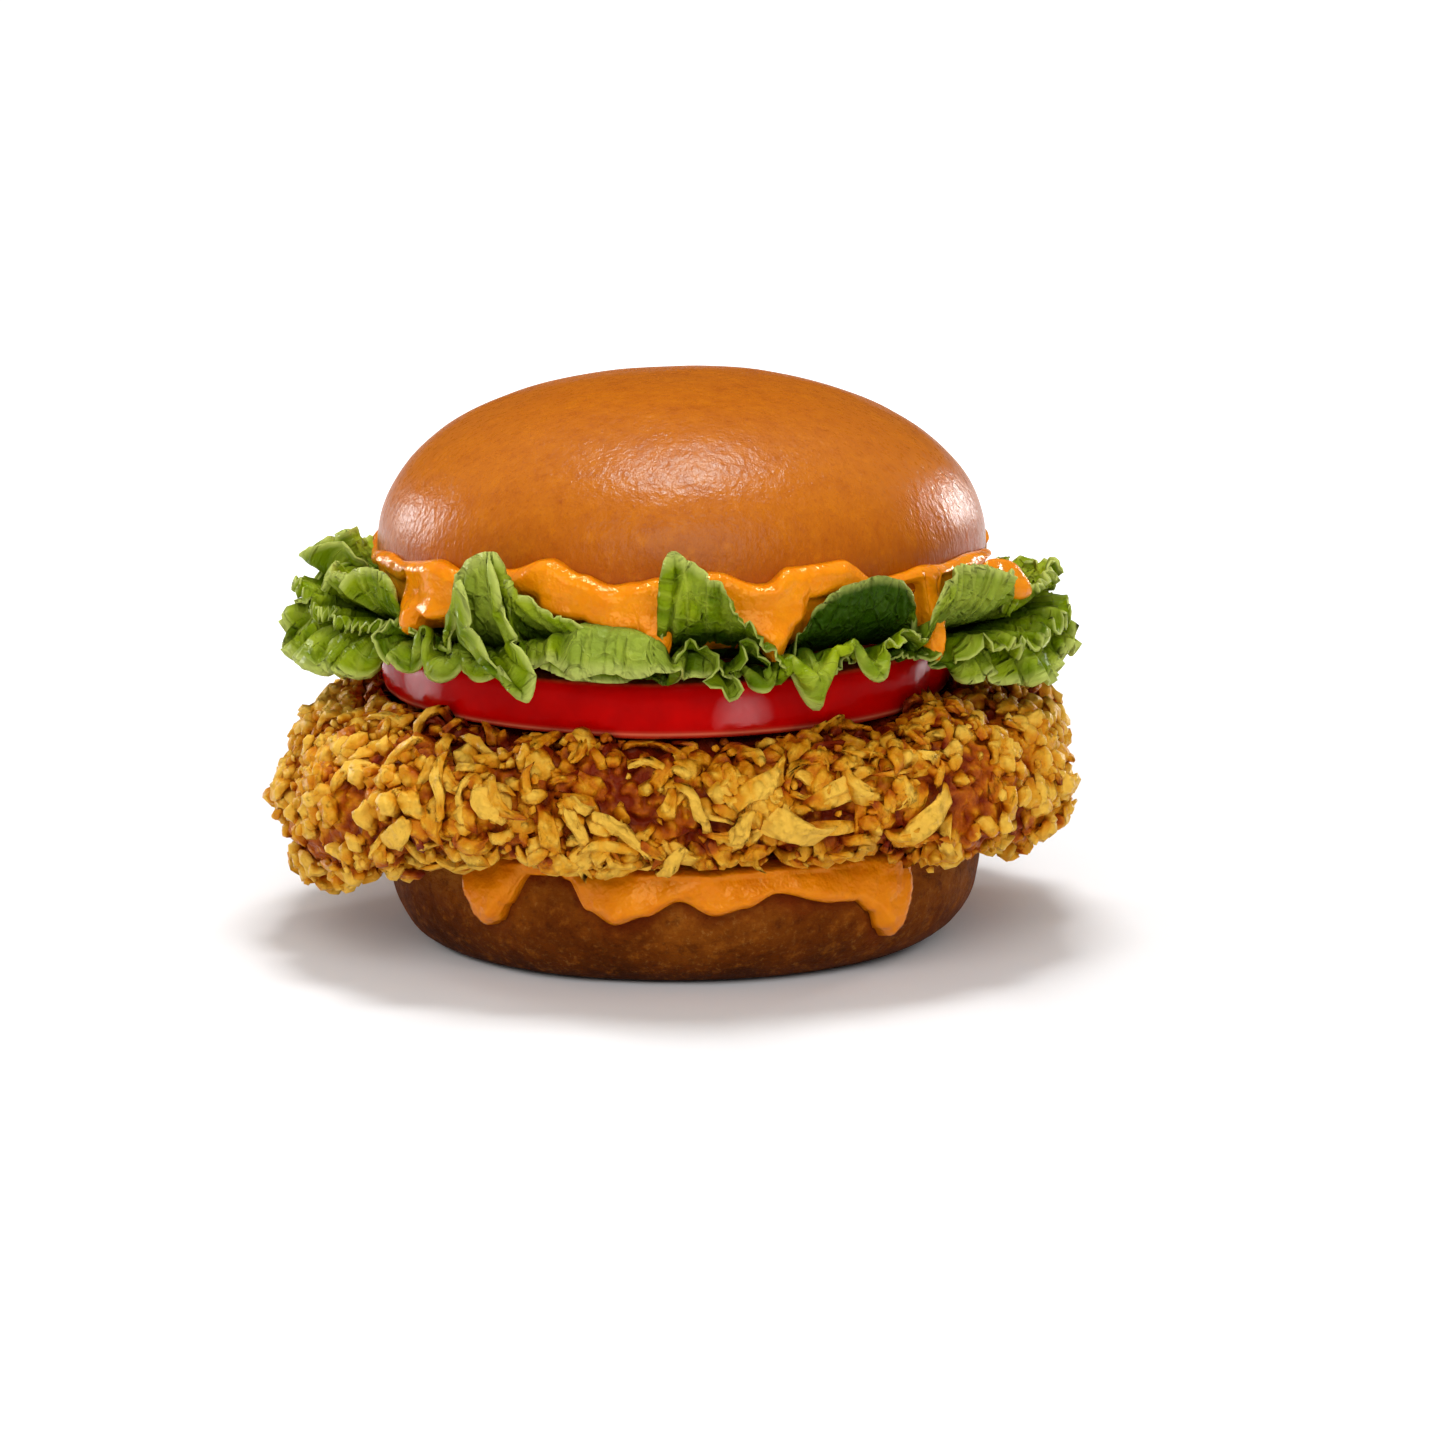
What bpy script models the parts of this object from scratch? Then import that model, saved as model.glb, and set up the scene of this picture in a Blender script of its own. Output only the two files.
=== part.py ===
"""A crispy chicken burger: crown, two sauces, two lettuce leaves, a tomato slice, a fried fillet and a heel.

Metres, +Z up. The origin is the middle of the heel's flat underside. Angles go round the Z axis from the
front, -Y, towards the right, +X, so -90 degrees is the left. Each layer runs right through the burger.
"""

import math
import random

import bmesh
import bpy
from mathutils import Matrix, Vector, noise

MM = 0.001
GAP = 0.3 * MM

# The crown, the top half of the bun: a dome on a tucked-in rim, cut flat underneath
CROWN_RADIUS = 50 * MM
CROWN_WIDEST_Z = 65 * MM
CROWN_RISE = 28 * MM
CROWN_ROUNDNESS = 2.15
CROWN_DROP = 8 * MM
CROWN_TUCK = 7 * MM
CROWN_CUT_Z = CROWN_WIDEST_Z - CROWN_DROP
CROWN_RIM_SHARES = (0.5, 0.87, 1)

# The heel, the bottom half of the bun
HEEL_RADIUS = 48.5 * MM
HEEL_WIDEST_Z = 12.5 * MM
HEEL_CUT_Z = 19 * MM
HEEL_FOOT_RADIUS = 39.5 * MM
HEEL_CUT_RADIUS = 47.5 * MM
BUN_UNEVEN = 0.012

# The tomato slice, which lies a little to the left
TOMATO_RADIUS = 47.3 * MM
TOMATO_SHIFT = -2.8 * MM
TOMATO_BOTTOM_Z = 41.6 * MM
TOMATO_THICKNESS = 9 * MM
TOMATO_TOP_Z = TOMATO_BOTTOM_Z + TOMATO_THICKNESS
TOMATO_BULGE = 1.3 * MM

# The fried fillet: a superellipsoid whose two ends hang down beside the heel, with knobs and flakes
FILLET_HALF_LENGTH = 66 * MM
FILLET_SHIFT = -1.5 * MM
FILLET_HALF_DEPTH = 53.5 * MM
FILLET_SQUARENESS = 2.5
FILLET_SIDE_POWER = 0.4
FILLET_RISE_POWER = 0.62
FILLET_MID_Z = 31.2 * MM
FILLET_HALF_THICKNESS = 11 * MM
LOBE_EXTRA_THICKNESS = 6 * MM
LEFT_LOBE_DROP = 9 * MM
RIGHT_LOBE_DROP = 5.5 * MM
LOBE_START = 34 * MM
CRAG_HEIGHT = 4.2 * MM
CRAG_SIZE = 14 * MM
FLAKES = 88
FLAKE_LENGTH = 12 * MM
FLAKE_THICKNESS = 2 * MM
FLAKES_FROM = -48
FLAKES_TO = 52
SPREAD = (0.754878, 0.569840)

# The sauces: how thick they lie, and their runs as (angle, half width in degrees, drop below the rim)
SAUCE_THICKNESS = 1.5 * MM
SAUCE_BEAD = 1.9 * MM
UPPER_EDGE_RISE = 4 * MM
UPPER_EDGE_WAVE = 1.8 * MM
UPPER_EDGE_DROP = 2 * MM
UPPER_DRIPS = (
    (-53, 12, 7 * MM), (-17, 15, 2 * MM), (-5, 6.5, 5 * MM), (17, 12, 5 * MM), (50, 6, 12 * MM),
    (84, 9, 3 * MM), (118, 12, 5 * MM), (150, 8, 6.5 * MM), (-172, 13, 4 * MM), (-138, 8, 6.5 * MM),
    (-104, 10, 3 * MM),
)
LOWER_EDGE_DROP = 1 * MM
LOWER_DRIPS = (
    (-40, 9, 11 * MM), (-12, 18, 6.8 * MM), (9, 19, 6.3 * MM), (26, 16, 5 * MM), (41.5, 8, 12 * MM),
    (78, 8, 2.5 * MM), (112, 8, 8 * MM), (146, 15, 4.5 * MM), (-168, 9, 7 * MM), (-132, 13, 4 * MM),
    (-88, 8, 3 * MM),
)

# The lettuce: where each leaf's margin lies, as (angle, radius, height), and its folds
LEAF_THICKNESS = 0.8 * MM
LEAF_DISC_RADIUS = 44 * MM
LOWER_LEAF_Z = 52 * MM
UPPER_LEAF_Z = 53.8 * MM
LOWER_MARGIN = (
    (-180, 59 * MM, 47.5 * MM), (-140, 60 * MM, 46 * MM), (-105, 67 * MM, 48 * MM),
    (-82, 67.5 * MM, 46.5 * MM), (-62, 59 * MM, 49.8 * MM), (-40, 54 * MM, 51 * MM),
    (-25, 55 * MM, 46.5 * MM), (-14, 53.5 * MM, 50 * MM), (12, 53.5 * MM, 50 * MM),
    (25, 55 * MM, 46.5 * MM), (38, 54 * MM, 49.5 * MM), (50, 49.5 * MM, 50.2 * MM),
    (62, 57 * MM, 46.5 * MM), (82, 64 * MM, 46 * MM), (104, 64 * MM, 47 * MM), (140, 59 * MM, 46.5 * MM),
)
UPPER_MARGIN = (
    (-180, 59 * MM, 57 * MM), (-158, 60 * MM, 63 * MM), (-138, 57 * MM, 55.5 * MM),
    (-118, 61 * MM, 63 * MM), (-96, 61.5 * MM, 66 * MM), (-78, 61.5 * MM, 60 * MM),
    (-66, 59 * MM, 62 * MM), (-53, 56.5 * MM, 54.2 * MM), (-38, 57 * MM, 68 * MM),
    (-27, 57 * MM, 58 * MM), (-12, 56 * MM, 54.4 * MM), (-5, 56 * MM, 54.4 * MM), (1, 57.5 * MM, 70 * MM),
    (8, 57.5 * MM, 62 * MM), (17, 56 * MM, 54.4 * MM), (29, 57.5 * MM, 63 * MM), (38, 56 * MM, 58 * MM),
    (46, 47 * MM, 53.4 * MM), (55, 47 * MM, 53.4 * MM), (65, 58 * MM, 62 * MM), (80, 64 * MM, 58 * MM),
    (98, 63 * MM, 58.5 * MM), (118, 59 * MM, 56 * MM), (134, 61 * MM, 63 * MM), (150, 56.5 * MM, 54.6 * MM),
)
RUFFLES = 19
RUFFLE_HEIGHT = 2.1 * MM
RUFFLE_DRIFT = 1.3

# How finely each solid is faceted, as points round it
BUN_POINTS = 36
TOMATO_POINTS = 44
SAUCE_POINTS = 72
LEAF_POINTS = 108
FILLET_POINTS = 52
CUTTER_POINTS = 48

# Edges bent by more than this many degrees are drawn sharp
SHARP_ANGLE = 50

# Each look is a linear base colour and a roughness
BREAD = ((0.60, 0.24, 0.03), 0.35)
HEEL_BREAD = ((0.32, 0.12, 0.025), 0.6)
SAUCE = ((0.90, 0.32, 0.02), 0.22)
LEAF = ((0.18, 0.36, 0.03), 0.45)
TOMATO = ((0.55, 0.01, 0.005), 0.2)
CRUST = ((0.60, 0.30, 0.04), 0.5)


def clear_scene():
    for found in list(bpy.data.objects):
        bpy.data.objects.remove(found)


def material(name, look):
    colour, roughness = look
    made = bpy.data.materials.new(name)
    made.use_nodes = True
    shader = made.node_tree.nodes["Principled BSDF"]
    shader.inputs["Base Color"].default_value = (*colour, 1)
    shader.inputs["Roughness"].default_value = roughness
    return made


def at(angle, radius, height):
    """The point at an angle from the front, in radians, at a radius from the axis and a height."""
    return Vector((radius * math.sin(angle), -radius * math.cos(angle), height))


def round_the_axis(count):
    return [math.tau * i / count - math.pi for i in range(count)]


def smooth(share):
    share = min(max(share, 0), 1)
    return share * share * (3 - 2 * share)


def around(table, angle):
    """A table's radius and height at an angle, going smoothly from each of its rows to the next."""
    degrees = math.degrees(angle)
    rows = sorted(table)
    rows = [(rows[-1][0] - 360, *rows[-1][1:]), *rows, (rows[0][0] + 360, *rows[0][1:])]
    for before, after in zip(rows, rows[1:]):
        if before[0] <= degrees <= after[0]:
            share = smooth((degrees - before[0]) / (after[0] - before[0]))
            return [a + (b - a) * share for a, b in zip(before[1:], after[1:])]
    raise ValueError(f"no row of the table covers {degrees} degrees")


def degrees_between(a, b):
    return abs((a - b + 180) % 360 - 180)


def drips(table, angle):
    """How far the sauce runs down at an angle: the deepest of the round-ended runs there."""
    depth = 0
    for middle, half_width, drop in table:
        away = degrees_between(math.degrees(angle), middle) / half_width
        if away < 1:
            depth = max(depth, drop * math.cos(away * math.pi / 2) ** 1.2)
    return depth


def uneven(angle, seed, size=1.3):
    """A gentle wobble round the axis, from about -1 to 1."""
    return noise.noise(Vector((size * math.cos(angle), size * math.sin(angle), seed)))


def solid(name, mesh, look):
    made = bpy.data.objects.new(name, mesh)
    mesh.materials.append(look)
    mesh.shade_smooth()
    mesh.set_sharp_from_angle(angle=math.radians(SHARP_ANGLE))
    bpy.context.collection.objects.link(made)
    return made


def loft(name, top, rings, bottom):
    """A closed mesh through rings of points, from the pole at the top to the pole underneath."""
    shape = bmesh.new()
    loops = [[shape.verts.new(point) for point in ring] for ring in rings]
    count = len(rings[0])
    poles = shape.verts.new(top), shape.verts.new(bottom)
    for i in range(count):
        j = (i + 1) % count
        shape.faces.new((poles[0], loops[0][i], loops[0][j]))
        for upper, lower in zip(loops, loops[1:]):
            shape.faces.new((upper[i], lower[i], lower[j]))
            shape.faces.new((upper[i], lower[j], upper[j]))
        shape.faces.new((loops[-1][i], poles[1], loops[-1][j]))
    mesh = bpy.data.meshes.new(name)
    shape.to_mesh(mesh)
    shape.free()
    return mesh


def crown_radius(angle, height):
    """The crown's radius at a height: a superellipse above its widest level, a quarter ellipse below."""
    if height >= CROWN_WIDEST_Z:
        share = min((height - CROWN_WIDEST_Z) / CROWN_RISE, 1)
        radius = CROWN_RADIUS * (1 - share**CROWN_ROUNDNESS) ** (1 / CROWN_ROUNDNESS)
    else:
        share = min((CROWN_WIDEST_Z - height) / CROWN_DROP, 1)
        radius = CROWN_RADIUS - CROWN_TUCK * (1 - math.sqrt(1 - share * share))
    return radius * (1 + BUN_UNEVEN * uneven(angle, 1))


def crown_mesh():
    angles = round_the_axis(BUN_POINTS)
    heights = [
        CROWN_WIDEST_Z + CROWN_RISE * math.cos(math.radians(lift)) ** (2 / CROWN_ROUNDNESS)
        for lift in (14, 28, 42, 56, 68, 79, 90)
    ]
    heights += [CROWN_WIDEST_Z - CROWN_DROP * share for share in CROWN_RIM_SHARES]
    rings = [[at(a, crown_radius(a, z), z) for a in angles] for z in heights]
    top = CROWN_WIDEST_Z + CROWN_RISE
    return loft("crown", (0, 0, top), rings, (0, 0, CROWN_CUT_Z))


def heel_radius(angle, height):
    """The heel's outside at a height: it leans in to its cut face, and rounds under to its foot."""
    if height >= HEEL_WIDEST_Z:
        share = min((height - HEEL_WIDEST_Z) / (HEEL_CUT_Z - HEEL_WIDEST_Z), 1)
        radius = HEEL_RADIUS - (HEEL_RADIUS - HEEL_CUT_RADIUS) * share * share
    else:
        share = (HEEL_WIDEST_Z - height) / HEEL_WIDEST_Z
        radius = HEEL_RADIUS - (HEEL_RADIUS - HEEL_FOOT_RADIUS) * (1 - math.sqrt(1 - share * share))
    return radius * (1 + BUN_UNEVEN * uneven(angle, 5))


def heel_mesh():
    angles = round_the_axis(BUN_POINTS)
    heights = [HEEL_CUT_Z, (HEEL_CUT_Z + HEEL_WIDEST_Z) / 2, HEEL_WIDEST_Z]
    heights += [HEEL_WIDEST_Z * share for share in (0.62, 0.32, 0.1, 0)]
    rings = [[at(a, heel_radius(a, z), z) for a in angles] for z in heights]
    return loft("heel", (0, 0, HEEL_CUT_Z), rings, (0, 0, 0))


def tomato_mesh():
    """A slice with its skin bulging a little between the two cut faces."""
    angles = round_the_axis(TOMATO_POINTS)
    rings = []
    for share in (0, 0.12, 0.5, 0.88, 1):
        bulge = TOMATO_BULGE * (math.sin(math.pi * share) ** 0.6 if 0 < share < 1 else 0)
        height = TOMATO_TOP_Z - TOMATO_THICKNESS * share
        radius = TOMATO_RADIUS - TOMATO_BULGE + bulge
        edge = [radius * (1 + 0.012 * uneven(a, 9, 0.8)) + TOMATO_SHIFT * math.sin(a) for a in angles]
        rings.append([at(a, out, height) for a, out in zip(angles, edge)])
    return loft("tomato", (0, 0, TOMATO_TOP_Z), rings, (0, 0, TOMATO_BOTTOM_Z))


def ring_of(angles, place):
    """A ring of points, where place gives the radius and the height at an angle."""
    return [at(angle, *place(angle)) for angle in angles]


def upper_sauce_mesh():
    """Sauce under the crown: it wraps a little way up the rim, and runs down from it."""
    angles = round_the_axis(SAUCE_POINTS)
    under = CROWN_CUT_Z - GAP - SAUCE_THICKNESS

    def edge(angle):
        return CROWN_WIDEST_Z + UPPER_EDGE_RISE + UPPER_EDGE_WAVE * uneven(angle, 14, 4.5)

    def tip(angle):
        return CROWN_WIDEST_Z - UPPER_EDGE_DROP - drips(UPPER_DRIPS, angle)

    def against(angle, share):
        """The point a gap clear of the rim, where share is how far down its quarter ellipse it lies."""
        height = CROWN_WIDEST_Z - CROWN_DROP * share
        normal = Vector((math.sqrt(1 - share * share) / CROWN_TUCK, -share / CROWN_DROP)).normalized()
        return crown_radius(angle, height) + GAP * normal.x, height + GAP * normal.y

    def outside(angle, share, swell):
        height = edge(angle) + share * (tip(angle) - edge(angle))
        return crown_radius(angle, max(height, CROWN_WIDEST_Z)) + GAP + SAUCE_BEAD * swell, height

    def behind(angle, share):
        """The drip's back and the underside: a curve from the tip in under the rim."""
        rim = crown_radius(angle, CROWN_WIDEST_Z) + GAP
        start = Vector((rim + 0.3 * MM, tip(angle) - 0.3 * MM))
        bend = Vector((rim - 0.6 * MM, CROWN_CUT_Z - 0.2 * MM))
        end = Vector((45 * MM, under))
        return start.lerp(bend, share).lerp(bend.lerp(end, share), share)

    rings = [ring_of(angles, lambda a: against(a, share)) for share in (*reversed(CROWN_RIM_SHARES), 0)]
    rings.append(ring_of(angles, lambda a: (crown_radius(a, edge(a)) + GAP, edge(a))))
    for share, swell in ((0.3, 0.85), (0.75, 1), (1, 0.6)):
        rings.append(ring_of(angles, lambda a: outside(a, share, swell)))
    for share in (0, 0.5, 1):
        rings.append(ring_of(angles, lambda a: behind(a, share)))
    return loft("sauce", (0, 0, CROWN_CUT_Z - GAP), rings, (0, 0, under))


def lower_sauce_mesh():
    """Sauce on the heel's cut face: it runs over the rim and down the crust."""
    angles = round_the_axis(SAUCE_POINTS)
    top = HEEL_CUT_Z + GAP + SAUCE_THICKNESS
    start = HEEL_CUT_Z + 0.7 * SAUCE_THICKNESS

    def tip(angle):
        return HEEL_CUT_Z - LOWER_EDGE_DROP - drips(LOWER_DRIPS, angle)

    def outside(angle, share, swell):
        height = start + share * (tip(angle) - start)
        return heel_radius(angle, height) + GAP + SAUCE_BEAD * swell, height

    def against(angle, share):
        height = HEEL_CUT_Z + share * (tip(angle) + 0.3 * MM - HEEL_CUT_Z)
        return heel_radius(angle, height) + (2 if share else 1) * GAP, height + GAP * (1 - share)

    rings = [ring_of(angles, lambda a: (43 * MM, top))]
    for share, swell in ((0, 0.7), (0.35, 1), (0.8, 1), (1, 0.6)):
        rings.append(ring_of(angles, lambda a: outside(a, share, swell)))
    for share in (1, 0.65, 0.3, 0):
        rings.append(ring_of(angles, lambda a: against(a, share)))
    return loft("sauce", (0, 0, top), rings, (0, 0, HEEL_CUT_Z + GAP))


def ruffle(angle, seed):
    """A wave round a leaf's margin that drifts, so that no two of its frills are alike."""
    drift = RUFFLE_DRIFT * uneven(angle, seed, 2.2)
    return math.sin(RUFFLES * angle + math.pi * drift) * (0.75 + 0.5 * uneven(angle, seed + 3, 3))


def leaf_point(angle, share, disc_z, margin, side):
    """A point of a leaf: flat under the crown, then up or down to its margin, frilled more and more."""
    margin_radius, margin_z = around(margin, angle)
    height = disc_z + 0.35 * MM * uneven(angle, 20, 3)
    start = Vector((LEAF_DISC_RADIUS, height))
    bend = Vector((margin_radius, height + 0.2 * (margin_z - height)))
    end = Vector((margin_radius, margin_z))
    place = start.lerp(bend, share).lerp(bend.lerp(end, share), share)
    along = (bend.lerp(end, share) - start.lerp(bend, share)).normalized()
    across = Vector((-along.y, along.x))
    calm = min(1, 0.35 + abs(margin_z - height) / (9 * MM))
    frill = RUFFLE_HEIGHT * calm * share * share * ruffle(angle, 30)
    place = place + across * (frill + side * LEAF_THICKNESS / 2)
    return at(angle, place.x, place.y)


def leaf_mesh(disc_z, margin):
    angles = round_the_axis(LEAF_POINTS)
    shares = (0, 0.4, 0.72, 1)
    rings = [[leaf_point(a, share, disc_z, margin, 1) for a in angles] for share in shares]
    rings += [[leaf_point(a, share, disc_z, margin, -1) for a in angles] for share in reversed(shares)]
    middle = LEAF_THICKNESS / 2
    return loft("leaf", (0, 0, disc_z + middle), rings, (0, 0, disc_z - middle))


def fillet_point(angle, lift):
    """The fillet's smooth outside at an angle round it, its lift from -90 degrees underneath to 90 on top."""
    c, s = abs(math.cos(angle)), abs(math.sin(angle))
    power = FILLET_SQUARENESS
    reach = ((s / FILLET_HALF_LENGTH) ** power + (c / FILLET_HALF_DEPTH) ** power) ** (-1 / power)
    reach *= 1 + 0.05 * uneven(angle, 40, 1.6)
    radius = reach * max(math.cos(lift), 0) ** FILLET_SIDE_POWER
    rise = math.copysign(abs(math.sin(lift)) ** FILLET_RISE_POWER, lift)
    point = at(angle, radius, 0)
    lobe = smooth((abs(point.x) - LOBE_START) / (FILLET_HALF_LENGTH - LOBE_START))
    drop = LEFT_LOBE_DROP if point.x < 0 else RIGHT_LOBE_DROP
    point.z = FILLET_MID_Z - drop * lobe + (FILLET_HALF_THICKNESS + LOBE_EXTRA_THICKNESS * lobe) * rise
    point.x += FILLET_SHIFT
    return point


def crag(point):
    """The crust's relief: rounded knobs with sharp creases between them."""
    cells = noise.voronoi(point / CRAG_SIZE)[0]
    fine = noise.noise(point / (CRAG_SIZE * 0.45))
    return CRAG_HEIGHT * (0.55 - cells[0]) + 0.35 * CRAG_HEIGHT * fine


def fillet_core():
    angles = round_the_axis(FILLET_POINTS)
    lifts = [math.radians(d) for d in (70, 52, 38, 25, 12, 0, -12, -25, -40, -60)]
    rings = []
    for lift in lifts:
        ring = []
        for angle in angles:
            point = fillet_point(angle, lift)
            outward = (point - Vector((0.5 * point.x, 0.5 * point.y, FILLET_MID_Z))).normalized()
            ring.append(point + outward * crag(point))
        rings.append(ring)
    top = fillet_point(0, math.pi / 2)
    bottom = fillet_point(0, -math.pi / 2)
    return loft("fillet", top, rings, bottom)


def flake_mesh(place, outward, draw):
    """One curled flake of crust: a six-sided petal, thick in the middle, standing up from the fillet."""
    length = FLAKE_LENGTH * draw.uniform(0.7, 1.25)
    width = length * draw.uniform(0.45, 0.8)
    curl = length * draw.uniform(0.1, 0.22)
    tilt = math.radians(draw.uniform(-24, 24))
    turn = Matrix.Rotation(draw.uniform(0, math.tau), 3, "Z")
    frame = outward.to_track_quat("Z", "Y").to_matrix() @ turn @ Matrix.Rotation(tilt, 3, "X")
    shape = bmesh.new()
    rim = []
    for i in range(6):
        angle = math.tau * i / 6
        out = draw.uniform(0.8, 1.15)
        flat = Vector((width / 2 * math.cos(angle) * out, length / 2 * math.sin(angle) * out, 0))
        flat.z = -curl * math.sin(angle) ** 2
        rim.append(shape.verts.new(place + frame @ flat))
    over = shape.verts.new(place + frame @ Vector((0, 0, FLAKE_THICKNESS * 0.7)))
    under = shape.verts.new(place + frame @ Vector((0, 0, -FLAKE_THICKNESS)))
    for i in range(6):
        j = (i + 1) % 6
        shape.faces.new((over, rim[i], rim[j]))
        shape.faces.new((under, rim[j], rim[i]))
    mesh = bpy.data.meshes.new("flake")
    shape.to_mesh(mesh)
    shape.free()
    return mesh


def flakes():
    """Flakes spread evenly, with no pattern, round the fillet's side, as a collection to be fused to it."""
    draw = random.Random(7)
    group = bpy.data.collections.new("flakes")
    for i in range(FLAKES):
        angle = math.tau * ((i * SPREAD[0]) % 1) - math.pi
        lift = math.radians(FLAKES_FROM + (FLAKES_TO - FLAKES_FROM) * ((i * SPREAD[1]) % 1))
        place = fillet_point(angle, lift)
        outward = (place - Vector((0.6 * place.x, 0.6 * place.y, FILLET_MID_Z))).normalized()
        place = place + outward * (crag(place) + 0.3 * MM)
        group.objects.link(bpy.data.objects.new("flake", flake_mesh(place, outward, draw)))
    return group


def turned_cutter(name, profile):
    """A solid of revolution, as (radius, height) pairs from the top out and down."""
    angles = round_the_axis(CUTTER_POINTS)
    rings = [[at(a, radius, height) for a in angles] for radius, height in profile]
    mesh = loft(name, (0, 0, profile[0][1]), rings, (0, 0, profile[-1][1]))
    return bpy.data.objects.new(name, mesh)


def boolean(target, operation, operand, solver="MANIFOLD"):
    change = target.modifiers.new(operation, "BOOLEAN")
    change.operation = operation
    change.solver = solver
    if isinstance(operand, bpy.types.Collection):
        change.operand_type = "COLLECTION"
        change.collection = operand
    else:
        change.object = operand


def keep_largest_shell(shape):
    left = set(shape.verts)
    shells = []
    while left:
        shell, edge = set(), {left.pop()}
        while edge:
            shell |= edge
            edge = {e.other_vert(v) for v in edge for e in v.link_edges} - shell
        left -= shell
        shells.append(shell)
    shells.sort(key=len)
    bmesh.ops.delete(shape, geom=[v for shell in shells[:-1] for v in shell], context="VERTS")


def bake(target):
    """Applies the object's modifiers, and keeps the largest shell of the result."""
    bpy.context.view_layer.update()
    shown = target.evaluated_get(bpy.context.evaluated_depsgraph_get())
    mesh = bpy.data.meshes.new_from_object(shown)
    target.modifiers.clear()
    target.data = mesh
    shape = bmesh.new()
    shape.from_mesh(mesh)
    keep_largest_shell(shape)
    shape.to_mesh(mesh)
    shape.free()


def fillet_mesh():
    """The fillet with its flakes fused on, flat where the tomato and the lower sauce lie against it."""
    body = bpy.data.objects.new("fillet", fillet_core())
    bpy.context.collection.objects.link(body)
    group = flakes()
    boolean(body, "UNION", group)
    tomato_reach = TOMATO_RADIUS + 0.8 * MM
    under_tomato = TOMATO_BOTTOM_Z - GAP
    over_tomato = turned_cutter("over", ((tomato_reach, 80 * MM), (tomato_reach, under_tomato)))
    over_tomato.location.x = TOMATO_SHIFT
    sauce_reach = HEEL_RADIUS + SAUCE_BEAD + 1.4 * MM
    sauce_top = HEEL_CUT_Z + SAUCE_THICKNESS + 2 * GAP
    below = turned_cutter("below", (
        (sauce_reach - 4 * MM, sauce_top), (sauce_reach, sauce_top - 1.5 * MM), (sauce_reach, -5 * MM),
    ))
    boolean(body, "DIFFERENCE", over_tomato)
    boolean(body, "DIFFERENCE", below)
    bake(body)
    for used in (*group.objects, over_tomato, below):
        bpy.data.objects.remove(used)
    bpy.data.collections.remove(group)
    mesh = body.data
    bpy.data.objects.remove(body)
    return mesh


def main():
    clear_scene()
    sauce = material("sauce", SAUCE)
    leaf = material("leaf", LEAF)
    solid("bun_heel", heel_mesh(), material("heel_crust", HEEL_BREAD))
    solid("sauce_lower", lower_sauce_mesh(), sauce)
    solid("fillet", fillet_mesh(), material("fried_crust", CRUST))
    solid("tomato_slice", tomato_mesh(), material("tomato", TOMATO))
    solid("lettuce_lower", leaf_mesh(LOWER_LEAF_Z, LOWER_MARGIN), leaf)
    solid("lettuce_upper", leaf_mesh(UPPER_LEAF_Z, UPPER_MARGIN), leaf)
    solid("sauce_upper", upper_sauce_mesh(), sauce)
    solid("bun_crown", crown_mesh(), material("crown_crust", BREAD))


main()
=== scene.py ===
"""The look of a crispy chicken burger: crusts, sauces, frilled leaves, flakes, light and a camera."""

import math

import bmesh
import bpy
import numpy as np
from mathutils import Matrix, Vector


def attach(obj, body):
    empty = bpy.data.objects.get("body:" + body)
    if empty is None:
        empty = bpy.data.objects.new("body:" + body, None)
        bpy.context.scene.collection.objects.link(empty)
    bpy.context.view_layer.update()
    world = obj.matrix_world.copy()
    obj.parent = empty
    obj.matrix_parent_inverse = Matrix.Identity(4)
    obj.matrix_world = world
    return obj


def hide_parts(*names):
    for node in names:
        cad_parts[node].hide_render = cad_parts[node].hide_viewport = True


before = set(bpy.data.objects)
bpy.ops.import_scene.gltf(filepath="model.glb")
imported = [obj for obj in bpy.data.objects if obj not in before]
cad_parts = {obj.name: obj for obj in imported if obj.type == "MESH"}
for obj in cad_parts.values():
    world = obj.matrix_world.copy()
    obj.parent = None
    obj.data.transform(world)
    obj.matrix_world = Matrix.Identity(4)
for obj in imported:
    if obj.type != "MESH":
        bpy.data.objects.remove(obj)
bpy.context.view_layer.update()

MM = 0.001


# Numbers and noise


def smooth(share):
    """From 0 to 1, level at both."""
    share = np.clip(share, 0, 1)
    return share * share * (3 - 2 * share)


def within(value, low, high, edge):
    """1 from low to high and 0 elsewhere, with soft edges inside them."""
    return smooth((value - low) / edge) * smooth((high - value) / edge)


def curved(share, first, middle, last):
    """A point of the curve that leaves the first value towards the middle one and ends at the last."""
    return (1 - share) ** 2 * first + 2 * share * (1 - share) * middle + share**2 * last


def corner_values(cells, seed):
    """A fixed random value from -1 to 1 for each whole-numbered cell."""
    x, y, z = np.moveaxis(cells, -1, 0)
    mixed = x * 374761393 + y * 668265263 + z * 1440662683 + seed * 1274126177
    mixed = (mixed ^ (mixed >> 13)) & 0xFFFFFFFF
    mixed = (mixed * 1274126177) & 0xFFFFFFFF
    mixed = (mixed ^ (mixed >> 16)) & 0xFFFF
    return mixed / 32767.5 - 1


def noise(points, size, seed=0):
    """Smooth noise from about -1 to 1, whose bumps are about size across."""
    scaled = np.asarray(points, float) / size + 1000.5
    cells = np.floor(scaled).astype(np.int64)
    part = scaled - cells
    part = part * part * part * (part * (part * 6 - 15) + 10)
    x, y, z = np.moveaxis(part, -1, 0)
    total = 0
    for dx, dy, dz in np.ndindex(2, 2, 2):
        weight = np.abs(1 - dx - x) * np.abs(1 - dy - y) * np.abs(1 - dz - z)
        total = total + weight * corner_values(cells + np.array((dx, dy, dz)), seed)
    return total


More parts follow.
